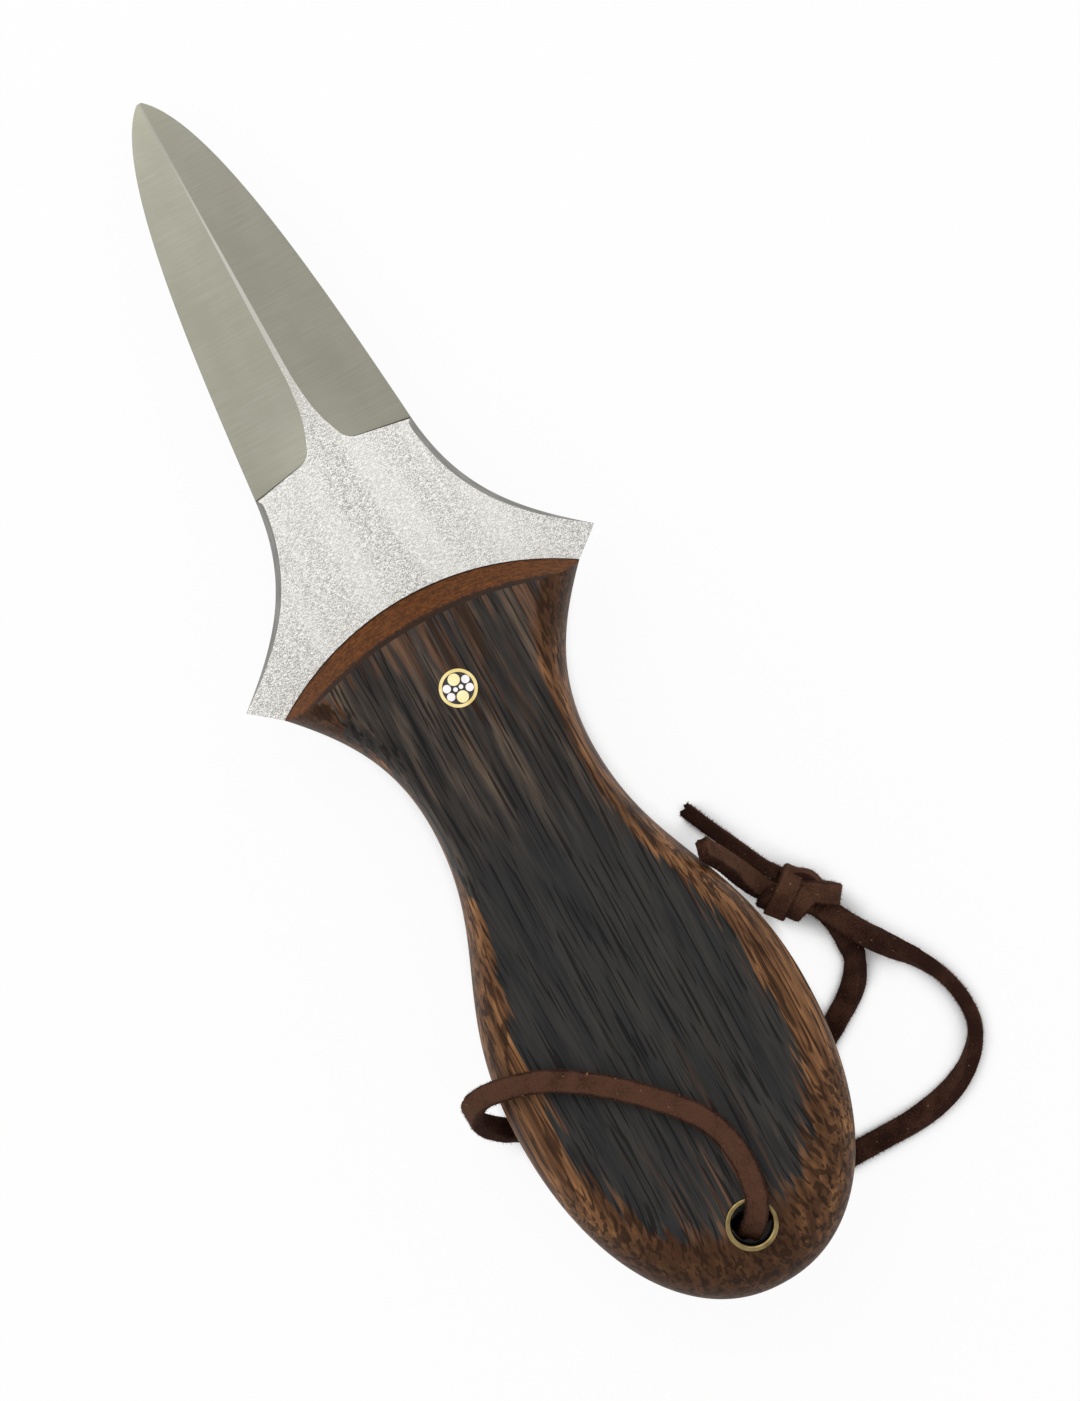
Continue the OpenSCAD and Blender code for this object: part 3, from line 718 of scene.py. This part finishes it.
def brushed_stainless():
    """Stainless sheet as brushed: a bright, broken reflection with fine marks across the knife."""
    material, tree, shader, spot = start_material("brushed_stainless_sheet", "#bbb9b6", 0.45, 1.0)
    marks = grain(tree, spot, (0.09, 0.7, 0.6), detail=1.0)
    specks = grain(tree, spot, (0.11, 0.12, 0.11), detail=0.0, shift=(7, 3, 1))
    clouds = grain(tree, spot, (34.0, 5.0, 8.0), detail=1.0, shift=(1, 6, 2))
    both = add(tree, "plus", [marks, specks])
    fine = fade(tree, both, 0.82, 1.18, "#979692", "#e0deda")
    cloudy = fade(tree, clouds, 0.35, 0.7, fine, "#d9d8d4", 0.0, 0.45)
    x = add(tree, "parts", [spot]).outputs["X"]
    ridge_grey = fade(tree, x, TIP_FROM * MM, TIP_TO * MM, "#a8a69e", "#8a8981")
    cover(shader, fade(tree, x, RIDGE_BRIGHT * MM, RIDGE_DULL * MM, cloudy, ridge_grey), both, 0.005)
    return material


def ground_stainless():
    """Belt-ground stainless: an even grey with faint clouding and fine lines across the edge."""
    material, tree, shader, spot = start_material("belt_ground_stainless", "#8a897d", 0.38, 1.0)
    clouds = grain(tree, spot, (12.0, 5.0, 5.0), detail=2.0)
    lines = grain(tree, spot, (0.16, 6.0, 2.0), detail=2.0, shift=(2, 5, 0))
    both = add(tree, "plus", [clouds, lines])
    cover(shader, fade(tree, both, 0.7, 1.3, "#878679", "#8e8d81"), lines, 0.0006)
    return material


def filed_steel(name, dull, bright):
    """A cut edge or a chamfer: a duller steel dressed with a file along the edge, or painted shade in a
    corner.
    """
    material, tree, shader, spot = start_material(name, dull, 0.42, 1.0)
    strokes = grain(tree, spot, (3.0, 3.0, 0.2))
    cover(shader, fade(tree, strokes, 0.3, 0.7, dull, bright), strokes, 0.003)
    return material


# The last steel is darker and is painted shade for the corner where a bevel ends.
STEELS = [brushed_stainless(), ground_stainless(),
          filed_steel("filed_stainless_edge", "#868580", "#9a9996"),
          filed_steel("plunge_corner_painted_shade", "#52504b", "#67665f")]
SHEET, GROUND, FILED, SHADED_CORNER = range(len(STEELS))
print("steels:", [m.name for m in STEELS])

# %% [markdown]
# Wenge
#
# Wenge is a very dark wood with open pores, sawn here so that its growth layers lie nearly flat. The
# flat top of a scale runs inside one dark layer, paler at the neck. Where the sides round over, the cut
# goes down through the layers, which shows as brown bands with dark strokes that spread towards the
# butt. So the pattern is worked out from the depth below the flat top, bent by long noise, and it needs
# no painting. One side of the neck stays dark further down, and the butt is darker on one side.

# %% Wood along its fibres
STEEL_HALF = 1.8
BED = 1.6
PLATEAU = 9.3
STEEPNESS = 3.3
BROWN_FROM = 1.1
BROWN_TO = 2.2
FAN = 0.038
BUTT_FROM = -58.0
BUTT_TO = -74.0
BOW_MIDDLE = -40.0
BOW_REACH = 38.0
# Height of the dark band at the foot of the front: partly the glue joint, partly painted contact shade.
JOINT_SHADE_BAND = 0.4
BROW_FROM = 1.9
BROW_TO = 1.0
NECK_DARK = -26.0
NECK_PALE = -8.0
DARK_SIDE_MIDDLE = -9.0
DARK_SIDE_REACH = 17.0
DARK_SIDE_DEPTH = 5.5
DARK_SIDE_FROM = 2.0
DARK_SIDE_TO = 9.0
CHIPS = 1.4


def wenge(name, seed):
    """Oiled wenge: layers by depth, fibres and open pores along the handle."""
    material, tree, shader, spot = start_material(name, "#3b2a20", 0.5, Specular_IOR_Level=0.1)
    shift = (seed * 3.7, seed * 1.9, seed * 5.3)
    x, y, z = add(tree, "parts", [add(tree, "scaled", [spot, 1 / MM])]).outputs

    depth = add(tree, "minus", [PLATEAU, add(tree, "unsigned", [z])])
    root = add(tree, "power", [add(tree, "larger", [depth, 0.0]), 0.5])
    steep = add(tree, "times", [root, STEEPNESS])
    reach = add(tree, "over", [add(tree, "minus", [x, BOW_MIDDLE]), BOW_REACH])
    bow = add(tree, "times", [reach, reach])
    wisps = grain(tree, spot, (12.0, 0.8, 2.2), detail=2.0, shift=shift)
    streaks = add(tree, "range", [wisps, 0.38, 0.62, -1.2, 0.85])
    waves = grain(tree, spot, (34.0, 10.0, 7.0), detail=1.0, shift=shift)
    swung = add(tree, "times_plus", [waves, 2.6, -1.3])
    evenly = add(tree, "plus", [add(tree, "plus", [steep, bow]), add(tree, "plus", [streaks, swung])])
    off_neck = add(tree, "unsigned", [add(tree, "minus", [x, DARK_SIDE_MIDDLE])])
    at_neck = add(tree, "range", [off_neck, DARK_SIDE_REACH, DARK_SIDE_REACH / 2])
    darker = add(tree, "times", [at_neck, add(tree, "range", [y, DARK_SIDE_FROM, DARK_SIDE_TO])])
    layer = add(tree, "times_plus", [darker, -DARK_SIDE_DEPTH, evenly])
    brown = add(tree, "range", [layer, BROWN_FROM, BROWN_TO])

    at_butt = add(tree, "range", [x, BUTT_FROM, BUTT_TO])
    spread = add(tree, "times_plus", [add(tree, "times", [steep, at_butt]), FAN, 1.0])
    fan_mm = add(tree, "ShaderNodeCombineXYZ", [x, add(tree, "over", [y, spread]), z])
    fan = add(tree, "scaled", [fan_mm, MM])
    on_side = add(tree, "range", [steep, 0.5, 2.2])
    bold, thin, deep = [
        grain(tree, fan, size, detail=1.0, shift=shift, warp=warp)
        for size, warp in (((6.5, 0.66, 0.7), 0.0), ((6.0, 0.4, 0.5), 0.0), ((11.0, 0.4, 0.8), 0.1))]
    strokes = add(tree, "times", [add(tree, "range", [bold, 0.54, 0.6]), on_side])
    fine_pores = add(tree, "range", [thin, 0.45, 0.65])
    pores = add(tree, "range", [deep, 0.58, 0.63])

    tone = grain(tree, spot, (16.0, 1.4, 1.5), shift=shift)
    browns = add(tree, "ramp", [tone],
                 ((0.34, "#50341f"), (0.5, "#745034"), (0.66, "#a07149"), (0.75, "#b68350")))
    streaked = add(tree, "ramp", [tone], ((0.35, "#33251c"), (0.65, "#6c503f")))
    darks = add(tree, "ramp", [tone], ((0.35, "#2a2a2b"), (0.65, "#393734")))
    paler = add(tree, "ramp", [tone], ((0.35, "#2c2927"), (0.5, "#3f3833"), (0.65, "#665648")))
    dark = fade(tree, x, NECK_DARK, NECK_PALE, darks, paler, 0.0, 0.85)
    at_front = add(tree, "range", [bow, 0.9, 1.3, 0.0, 0.8])
    lopsided = add(tree, "range", [y, -13.0, -1.0, 0.3, 0.85])
    at_ends = add(tree, "larger", [at_front, add(tree, "times", [at_butt, lopsided])])
    sides = add(tree, "mix", [at_ends, browns, "#412818"])
    warm = add(tree, "mix", [on_side, streaked, sides])
    colour = add(tree, "mix", [brown, dark, warm])
    shaded = add(tree, "mix", [brown, "#0e0d0d", "#28170b"])
    for lines, most in ((strokes, 0.75), (fine_pores, 0.3), (pores, 0.8)):
        colour = add(tree, "mix", [add(tree, "times", [lines, most]), colour, shaded])
    cover(shader, colour, add(tree, "minus", [1.0, pores]), 0.03)
    return material


print("wenge along its fibres is ready")


# %% Wood cut across
def wenge_across():
    """The sloping front of a scale, sanded across the fibres: an even red brown with faint scratches."""
    material, tree, shader, spot = start_material("wenge_cut_across", "#5a3018", 0.6,
                                                  Specular_IOR_Level=0.08)
    ends = grain(tree, spot, (1.2, 1.2, 0.5), detail=4.0)
    fine = grain(tree, spot, (0.3, 2.4, 0.3), shift=(4, 4, 4))
    pits = grain(tree, spot, (2.0, 0.4, 0.9), detail=1.0)
    chips = grain(tree, spot, (2.0, 0.5, 2.0), detail=2.0, shift=(2, 8, 3))
    height = add(tree, "unsigned", [add(tree, "parts", [spot]).outputs["Z"]])
    ragged = add(tree, "times_plus", [chips, CHIPS * MM, height])
    top = PLATEAU + CHIPS / 2
    sanded = fade(tree, add(tree, "plus", [ends, fine]), 0.75, 1.25, "#4f2c13", "#75441d")
    pitted = fade(tree, pits, 0.5, 0.62, sanded, "#3a1f0e", 0.0, 0.5)
    # Painted contact shade: darker where the front meets the steel, partly the glue joint's own colour.
    joint_shaded = fade(tree, height, STEEL_HALF * MM, (STEEL_HALF + JOINT_SHADE_BAND) * MM, pitted, "#1c120c", 0.85, 0.0)
    browed = fade(tree, ragged, (top - BROW_FROM) * MM, (top - BROW_TO) * MM, joint_shaded, "#1a1412", 0.0, 0.85)
    cover(shader, browed, fine, 0.012)
    return material


WOOD_ACROSS = wenge_across()
WOODS = {"front_scale": wenge("wenge_front", 1), "back_scale": wenge("wenge_back", 4)}
print("woods:", [m.name for m in WOODS.values()], WOOD_ACROSS.name)

# %% [markdown]
# Brass, nickel silver and resin
#
# The mosaic pin is a brass tube packed with brass and nickel silver rods in black resin, and ground
# flush with the wood. The lanyard tube is turned brass. All are softly polished by handling, so each
# has a fairly low roughness, a little tarnish and fine scratches. One function makes all four metals,
# because they differ only in colour and polish.


# %% Small metals and resin
def worn_metal(name, bright, dull, roughness):
    """A polished soft metal with uneven tarnish and fine scratches."""
    material, tree, shader, spot = start_material(name, bright, roughness, 1.0)
    tarnish = grain(tree, spot, (1.6, 1.6, 1.6))
    scratches = grain(tree, spot, (0.08, 0.7, 0.7), detail=2.0, shift=(3, 1, 2))
    cover(shader, fade(tree, tarnish, 0.35, 0.7, bright, dull), scratches, 0.003)
    return material


def cast_resin():
    """Black epoxy, ground flush: dark, smooth and faintly clouded."""
    material, tree, shader, spot = start_material("black_epoxy", "#171412", 0.32)
    clouds = grain(tree, spot, (0.5, 0.5, 0.5))
    cover(shader, fade(tree, clouds, 0.35, 0.7, "#120f0d", "#26211d"), clouds, 0.004)
    return material


BRASS = worn_metal("polished_brass", "#8b7952", "#695a39", 0.26)
ROD_BRASS = worn_metal("rod_brass", "#f8efc6", "#efdfa6", 0.32)
PIN_BRASS = worn_metal("pin_tube_brass", "#efdca0", "#dcc47c", 0.3)
NICKEL_SILVER = worn_metal("polished_nickel_silver", "#f4f2f1", "#e9e5e4", 0.3)
RESIN = cast_resin()
print("metals:", [m.name for m in (BRASS, ROD_BRASS, PIN_BRASS, NICKEL_SILVER)], "and", RESIN.name)

# %% [markdown]
# The outline of the knife
#
# One outline runs from the tip along the blade, out to the wing of the guard, back to the corner of
# the wood, in at the neck, round the bulb and to the butt. It could be traced point by point, but
# smooth curves between a few measured places leave no dents in the reflection. Each curve starts along
# the line on which the last one ended. The rounding draws the same outline in for each level of the
# wood. Stations are millimetres behind the tip, and the tip lies at half the overall length along X.

# %% Sizes and outline
TIP_HALF = 0.3
PLUNGE = 49.4
PLUNGE_HALF = 10.8
FRONT = 68.4
WING = 71.6
WING_HALF = 24.2
CORNER_HALF = 20.5
FRONT_RADIUS = 37.0
NECK = 95.0
NECK_HALF = 11.1
BULB = 133.0
BULB_HALF = 20.1
BUTT = 164.0
BUTT_POWER = 2.15
PLUNGE_FLARE = 0.09
WING_SLOPE = 1.21
CORNER_SLOPE = 0.95
CORNER = FRONT + FRONT_RADIUS - math.sqrt(FRONT_RADIUS ** 2 - CORNER_HALF ** 2)
TO_TIP = 1.3
CORNER_ROUND = 6.5
NECK_ROUND = 2.6
BULB_ROUND = 6.5
BUTT_ROUND = 10.0


def bend(curve, t):
    """A point on a smooth curve with four handles."""
    a, b, c, d = (np.array(p, float) for p in curve)
    return (1 - t) ** 3 * a + 3 * (1 - t) ** 2 * t * b + 3 * (1 - t) * t * t * c + t ** 3 * d


def curve_between(start, end, pulls, slopes):
    """Four handles from one place to another, leaving and arriving at those slopes."""
    run = end[0] - start[0]
    first, last = pulls[0] * run, pulls[1] * run
    return (start, (start[0] + first, start[1] + slopes[0] * first),
            (end[0] - last, end[1] - slopes[1] * last), end)


BLADE_CURVE = ((0, TIP_HALF), (PLUNGE * 0.108, PLUNGE_HALF * 0.612),
               (PLUNGE * 0.58, PLUNGE_HALF - PLUNGE_FLARE * PLUNGE * 0.42), (PLUNGE, PLUNGE_HALF))
GUARD_CURVE = curve_between((PLUNGE, PLUNGE_HALF), (WING, WING_HALF), (0.475, 0.28),
                            (PLUNGE_FLARE, WING_SLOPE))
FRONT_CURVE = curve_between((CORNER, CORNER_HALF), (NECK, NECK_HALF), (0.276, 0.452),
                            (-CORNER_SLOPE, 0))
REAR_CURVE = curve_between((NECK, NECK_HALF), (BULB, BULB_HALF), (0.408, 0.469), (0, 0))


def butt_point(angle, length, half):
    """A point on the round end of the handle, a circle that is slightly squared."""
    power = 2 / BUTT_POWER
    return np.array([BULB + length * math.sin(angle) ** power,
                     half * max(math.cos(angle), 0.0) ** power])


def ease(t, low, high):
    """Goes from one value to another, level at both ends."""
    return low + (high - low) * (3 - 2 * t) * t * t


def side_point(t, pull):
    """A point of the outline before the neck, drawn in by the rounding."""
    return bend(FRONT_CURVE, t) - (0, pull * ease(max(t, 0), CORNER_ROUND, NECK_ROUND))


def side_line(start, pull):
    """The outline from the corner of the wood to the butt, drawn in by the rounding."""
    before = [side_point(start + (1 - start) * t, pull) for t in steps(56)]
    behind = [bend(REAR_CURVE, t) - (0, pull * ease(t, NECK_ROUND, BULB_ROUND)) for t in steps(60)]
    length = BUTT - BULB - pull * BUTT_ROUND
    half = BULB_HALF - pull * BULB_ROUND
    return before[:-1] + behind[:-1] + [butt_point(math.radians(90 * t), length, half) for t in steps(48)]


def place(station, side, height):
    """A point in the frame, in millimetres."""
    return (BUTT / 2 - station, side, height)


blade_edge = [bend(BLADE_CURVE, t ** TO_TIP) for t in steps(90)]
guard_edge = [bend(GUARD_CURVE, t) for t in steps(48)]
tang_edge = side_line(0.0, 0.0)
print("outline points:", len(blade_edge) + len(guard_edge) + len(tang_edge))

# %% [markdown]
# Round holes
#
# The pin and the lanyard tube go through the wood and the steel. A Boolean modifier cuts the holes
# after the pieces are shaped, as a drill does, so the curved wood needs no faces laid out round them.


# %% Holes
def cylinder(station, radius, low, high, sides=96):
    """The points and faces of an upright cylinder, with no values on it."""
    ring = [(math.tau * i / sides) for i in range(sides)]
    centre = place(station, 0, 0)
    points = [(centre[0] + radius * math.cos(a), radius * math.sin(a), z)
              for z in (low, high) for a in ring]
    faces = [(i, (i + 1) % sides, sides + (i + 1) % sides, sides + i) for i in range(sides)]
    faces += [tuple(range(sides))[::-1], tuple(range(sides, 2 * sides))]
    return points, faces, []


def drill(piece, holes, sharp):
    """Cuts upright round holes, each given as its station, radius, lowest and highest place."""
    shells = joined([cylinder(*hole) for hole in holes])
    cutter = make_piece(piece.name + "_cutter", *shells[:2], piece.data.materials[:1])
    cut = piece.modifiers.new("holes", "BOOLEAN")
    cut.object = cutter
    cut.operation = "DIFFERENCE"
    cut.solver = "EXACT"
    cut.use_self = True
    bpy.context.view_layer.update()
    cut_mesh = bpy.data.meshes.new_from_object(piece.evaluated_get(bpy.context.evaluated_depsgraph_get()))
    piece.modifiers.clear()
    piece.data = cut_mesh
    cut_mesh.name = piece.name
    cut_mesh.set_sharp_from_angle(angle=math.radians(sharp))
    bpy.data.objects.remove(cutter)
    return piece


print("hole cutter ready")

# %% [markdown]
# The blade, guard and tang
#
# One plate of steel makes all three. A bevel is a nearly flat surface between the cutting edge and an
# inner line. That line follows the ridge as a narrow land, swells near the guard where the bevel runs
# out through the plate's face, turns a round corner and runs out to the edge as the plunge line. Wedges
# could be cut from a block, but rows of faces laid along these lines reflect more cleanly. Only a
# quarter of the plate is drawn, and the rest is its mirror image.

# %% Sizes of the bevel
EDGE_HALF = 0.25
BEVEL_RISE = 0.165
LAND_HALF = 0.13
LAND_GROWTH = 0.011
LAND_EVEN = 16.0
STEEPER = 0.27
STEEPER_RUN = 8.0
CORNER_START = 47.3
CORNER_BEND = (48.15, 3.3)
CORNER_END = (48.45, 5.2)
WALL_LEAN = 0.24
CHAMFER = 0.75
CHAMFER_START = 0.4
GLUE = 0.02
BEVEL_COLUMNS = 8

blade_stations = [p[0] for p in blade_edge]
blade_halves = [p[1] for p in blade_edge]


def half_at(station):
    """Half the blade's width at a station."""
    return float(np.interp(station, blade_stations, blade_halves))


def rise_at(station):
    """Rise of the bevel per millimetre, steeper towards the plunge line."""
    near = max(0.0, 1 - (PLUNGE - station) / STEEPER_RUN)
    return BEVEL_RISE * (1 + STEEPER * near ** 2)


def bevel_height(station, side):
    """Height of the bevel's surface, no higher than the plate."""
    return min(EDGE_HALF + rise_at(station) * (half_at(station) - side), STEEL_HALF)


def land_side(station):
    """Half the width that the bevels leave unground at a station."""
    least = LAND_HALF + LAND_GROWTH * max(0.0, station - LAND_EVEN)
    return max(half_at(station) - (STEEL_HALF - EDGE_HALF) / rise_at(station), least)


print("bevel rises", BEVEL_RISE, "mm for each mm")

# %% Faces of the quarter
quarter_points, quarter_faces, quarter_looks = [], [], []


def patch(rows, look):
    """Adds the faces between rows of points, all of the same length."""
    start = len(quarter_points)
    wide = len(rows[0])
    for row in rows:
        quarter_points.extend(row)
    for r in range(len(rows) - 1):
        for c in range(wide - 1):
            a = start + r * wide + c
            quarter_faces.append((a, a + 1, a + wide + 1, a + wide))
            quarter_looks.append(look)


def flat(points, look):
    """Adds one flat face."""
    start = len(quarter_points)
    quarter_points.extend(points)
    quarter_faces.append(tuple(range(start, start + len(points))))
    quarter_looks.append(look)


ridge = [(s, min(land_side(s), half_at(s))) for s in blade_stations if s < CORNER_START]
ridge.append((CORNER_START, land_side(CORNER_START)))
corner = [bend((ridge[-1], CORNER_BEND, CORNER_BEND, CORNER_END), t) for t in steps(14)][1:]
to_plunge = np.array([PLUNGE, PLUNGE_HALF]) - CORNER_END
plunge = [np.array(CORNER_END) + t * to_plunge for t in steps(16)][1:]
turn_line = [np.array(ridge[-1])] + corner + plunge
edge_tail = [np.array([s, half_at(s)]) for s in np.linspace(CORNER_START, PLUNGE, len(turn_line))]

inner = [np.array(p) for p in ridge[:-1]] + turn_line
outer = [np.array([s, half_at(s)]) for s, _ in ridge[:-1]] + edge_tail
bevel_rows = []
for a, b in zip(inner, outer):
    row = []
    for share in steps(BEVEL_COLUMNS):
        s, side = a + (b - a) * share
        row.append(place(s, side, EDGE_HALF if share == 1 else bevel_height(s, side)))
    bevel_rows.append(row)
patch(bevel_rows, GROUND)
patch([[place(s, 0, bevel_height(s, w)), place(s, w, bevel_height(s, w))] for s, w in ridge], SHEET)
lean = [WALL_LEAN * i / (len(turn_line) - 1) for i in range(len(turn_line))]
wall_top = [place(p[0] + d, p[1], STEEL_HALF) for p, d in zip(turn_line, lean)]
wall_top[-1] = place(PLUNGE + WALL_LEAN, PLUNGE_HALF - CHAMFER * CHAMFER_START, STEEL_HALF)
wall_foot = [place(p[0], p[1], bevel_height(p[0], p[1])) for p in turn_line[:-1]]
# The plunge wall takes the darker steel, which is painted shade in that corner.
patch([wall_foot + [place(PLUNGE, PLUNGE_HALF, EDGE_HALF)], wall_top], SHADED_CORNER)
patch([[row[-1] for row in bevel_rows], [(p[-1][0], p[-1][1], 0) for p in bevel_rows]], GROUND)
first = bevel_rows[0]
flat([(first[0][0], 0, first[0][2])] + first + [(first[-1][0], first[-1][1], 0), (first[0][0], 0, 0)],
     GROUND)
print("bevel columns:", len(bevel_rows), "with the plunge wall", len(turn_line), "points long")

# %% [markdown]
# Behind the plunge line the plate is flat. The hollow edge of the guard has a chamfer, which is widest
# near the blade and dies away towards the wing. The wood starts at an arc, and behind it the plate is
# a fifth of a millimetre lower, where the scales are bedded.

# %% Guard and tang
CHAMFER_GROWTH = 24
guard_ways = np.gradient(np.array(guard_edge), axis=0)
guard_inner = []
chamfer_low = []
for i, (p, way) in enumerate(zip(guard_edge, guard_ways)):
    share = i / (len(guard_edge) - 1)
    wide = CHAMFER * min(1.0, CHAMFER_GROWTH * share + CHAMFER_START) * (1 - share ** 3)
    inwards = np.array([way[1], -way[0]]) / np.linalg.norm(way)
    inner_at = p + inwards * wide
    guard_inner.append(place(max(inner_at[0], PLUNGE + WALL_LEAN), inner_at[1], STEEL_HALF))
    chamfer_low.append(place(p[0], p[1], STEEL_HALF - wide))
guard_inner[0] = wall_top[-1]


def front_arc(side, station, radius):
    """Station of an arc across the knife, at that distance from the middle."""
    return station + radius - math.sqrt(radius ** 2 - side ** 2)


arc_sides = [CORNER_HALF * t for t in steps(40)]
arc_top = [place(front_arc(s, FRONT, FRONT_RADIUS) - GLUE, s, STEEL_HALF) for s in arc_sides]
arc_bed = [place(front_arc(s, FRONT, FRONT_RADIUS) - GLUE, s, BED) for s in arc_sides]
outline_top = [place(p[0], p[1], BED) for p in tang_edge]
flat([place(CORNER_START, 0, STEEL_HALF)] + wall_top + guard_inner[1:] + arc_top[::-1], SHEET)
patch([guard_inner, chamfer_low], FILED)
patch([chamfer_low] + [[(x, y, z) for x, y, _ in chamfer_low] for z in (EDGE_HALF, 0)], FILED)
flat([guard_inner[-1], arc_top[-1], arc_bed[-1], (*arc_bed[-1][:2], 0), (*chamfer_low[-1][:2], 0),
      (*chamfer_low[-1][:2], EDGE_HALF)], FILED)
flat([chamfer_low[0], wall_top[-1], place(PLUNGE, PLUNGE_HALF, EDGE_HALF)], FILED)
patch([arc_top, arc_bed], FILED)
flat(arc_bed + outline_top, SHEET)
patch([[arc_bed[-1]] + outline_top, [(x, y, 0) for x, y, _ in [arc_bed[-1]] + outline_top]], FILED)

STEEL_SHARP = 6
quarters = [([(x, y * turn_y, z * turn_z) for x, y, z in quarter_points], quarter_faces, quarter_looks)
            for turn_y in (1, -1) for turn_z in (1, -1)]
steel_points, steel_faces, steel_looks = joined(quarters)
steel = make_piece("blade_and_tang_fine", steel_points, steel_faces, STEELS, steel_looks,
                   sharp=STEEL_SHARP)

PIN_AT = FRONT + 12.9
PIN_HOLE = 4.76 / 2 + GLUE
TUBE_AT = BUTT - 8.3
TUBE_RADIUS = 6.35 / 2
REACH = PLATEAU + 1
THROUGH = [(PIN_AT, PIN_HOLE, -REACH, REACH), (TUBE_AT, TUBE_RADIUS + GLUE, -REACH, REACH)]
drill(steel, THROUGH, sharp=STEEL_SHARP)
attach(steel, "root")
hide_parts("blade_and_tang")

# %% [markdown]
# The scales
#
# A Bevel modifier would round a block alike on every side, but the wood is rounder at the bulb and butt
# than at the neck. So a scale is lofted through levels. Each level is the outline drawn in a little
# more, by the same quarter-round rule all the way up, so the sides stand upright on the steel and lie
# flat at the top. The front is a ruled slope between two arcs, with the finish of wood cut across.

# %% One level of a scale
TOP_RADIUS = 50.0
SLOPE_RUN = 3.8
LEVELS = 22
WOOD_SHARP = 32
FRONT_STEPS = 24
LIP_RADIUS = 6.6 / 2
LIP_HEIGHT = 0.4
LIP_PROUD = 0.05


def face_station(side, rise):
    """Station of the sloping front at that share of its height."""
    return ((1 - rise) * front_arc(side, FRONT, FRONT_RADIUS)
            + rise * front_arc(side, FRONT + SLOPE_RUN, TOP_RADIUS))


def corner_share(rise, pull):
    """Where the side meets the sloping front, found by halving."""
    low, high = -0.3, 0.3
    for _ in range(30):
        middle = (low + high) / 2
        point = side_point(middle, pull)
        if point[0] > face_station(point[1], rise):
            high = middle
        else:
            low = middle
    return (low + high) / 2


def half_level(rise, pull):
    """Half of one level of a scale, from the front's middle to the butt."""
    start = corner_share(rise, pull)
    corner_at = side_point(start, pull)
    front = [(face_station(corner_at[1] * t, rise), corner_at[1] * t) for t in steps(FRONT_STEPS)]
    return front[:-1] + side_line(start, pull)


print("levels in a scale:", LEVELS)


# %% Both scales
def scale_mesh(name, top):
    """A scale on the side that top gives, 1 or -1."""
    rings = []
    for share in steps(LEVELS):
        angle = math.radians(90 * share)
        level = half_level(math.sin(angle), 1 - math.cos(angle))
        z = BED + (PLATEAU - BED) * math.sin(angle)
        loop = [place(p[0], p[1], z * top) for p in level]
        loop += [place(p[0], -p[1], z * top) for p in level[-2:0:-1]]
        rings.append(loop)
    count = len(rings[0])
    faces, looks = [], []
    for k in range(LEVELS):
        for i in range(count):
            j = (i + 1) % count
            faces.append((k * count + i, k * count + j, (k + 1) * count + j, (k + 1) * count + i))
            looks.append(1 if i < FRONT_STEPS or i >= count - FRONT_STEPS else 0)
    faces += [tuple(range(count)), tuple(range(LEVELS * count, (LEVELS + 1) * count))]
    points = [p for ring in rings for p in ring]
    finishes = [WOODS[name.replace("_fine", "")], WOOD_ACROSS]
    return make_piece(name, points, faces, finishes, looks + [0, 0], WOOD_SHARP)


for node, top in (("front_scale", 1), ("back_scale", -1)):
    wood = scale_mesh(node + "_fine", top)
    seat = (PLATEAU + LIP_PROUD - LIP_HEIGHT - GLUE) * top
    lip_hole = (TUBE_AT, LIP_RADIUS + GLUE, min(seat, REACH * top), max(seat, REACH * top))
    drill(wood, THROUGH + [lip_hole], sharp=WOOD_SHARP)
    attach(wood, "root")
    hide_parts(node)

# %% [markdown]
# The lanyard tube
#
# The tube is a turned piece, so its section is drawn once and carried round, as a Screw modifier would
# do it. Each mouth has a small rounded lip that sits in the wood, which is the thin bright ring.

# %% Lanyard tube
BORE_RADIUS = 5.2 / 2
LIP_STEPS = 14
TUBE_SIDES = 128
TUBE_SHARP = 50

lip_reach = (LIP_RADIUS - BORE_RADIUS) / 2
lip_middle = (LIP_RADIUS + BORE_RADIUS) / 2
lip_rise = LIP_HEIGHT / 2
lip_top = PLATEAU + LIP_PROUD
lip_turns = [math.pi * t for t in steps(LIP_STEPS)]
crown = [(lip_middle + lip_reach * math.cos(f), lip_top - lip_rise + lip_rise * math.sin(f))
         for f in lip_turns]
upper_half = [(TUBE_RADIUS, lip_top - LIP_HEIGHT), (LIP_RADIUS, lip_top - LIP_HEIGHT)] + crown
section = upper_half + [(r, -z) for r, z in reversed(upper_half)]
tube_points = [(place(TUBE_AT, 0, 0)[0] + r * math.cos(math.tau * i / TUBE_SIDES),
                r * math.sin(math.tau * i / TUBE_SIDES), z)
               for i in range(TUBE_SIDES) for r, z in section]
tube_faces = []
for i in range(TUBE_SIDES):
    for k in range(len(section)):
        a = i * len(section)
        b = (i + 1) % TUBE_SIDES * len(section)
        n = (k + 1) % len(section)
        tube_faces.append((a + k, b + k, b + n, a + n))
tube = make_piece("lanyard_tube_fine", tube_points, tube_faces, [BRASS], sharp=TUBE_SHARP)
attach(tube, "root")
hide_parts("lanyard_tube")

# %% [markdown]
# The mosaic pin
#
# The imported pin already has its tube, its resin and its eight rods as true cylinders, ground flush with
# the wood, so they stay and only take their finishes.

# %% Finishes of the pin
PIN_FINISHES = {"pin_tube": PIN_BRASS, "pin_resin": RESIN}
for node_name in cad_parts:
    if node_name.startswith("pin_brass"):
        PIN_FINISHES[node_name] = ROD_BRASS
    elif node_name.startswith(("pin_silver", "pin_fine")):
        PIN_FINISHES[node_name] = NICKEL_SILVER
for node_name, finish in PIN_FINISHES.items():
    for material_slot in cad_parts[node_name].material_slots:
        material_slot.material = finish
print("pin pieces:", len(PIN_FINISHES))
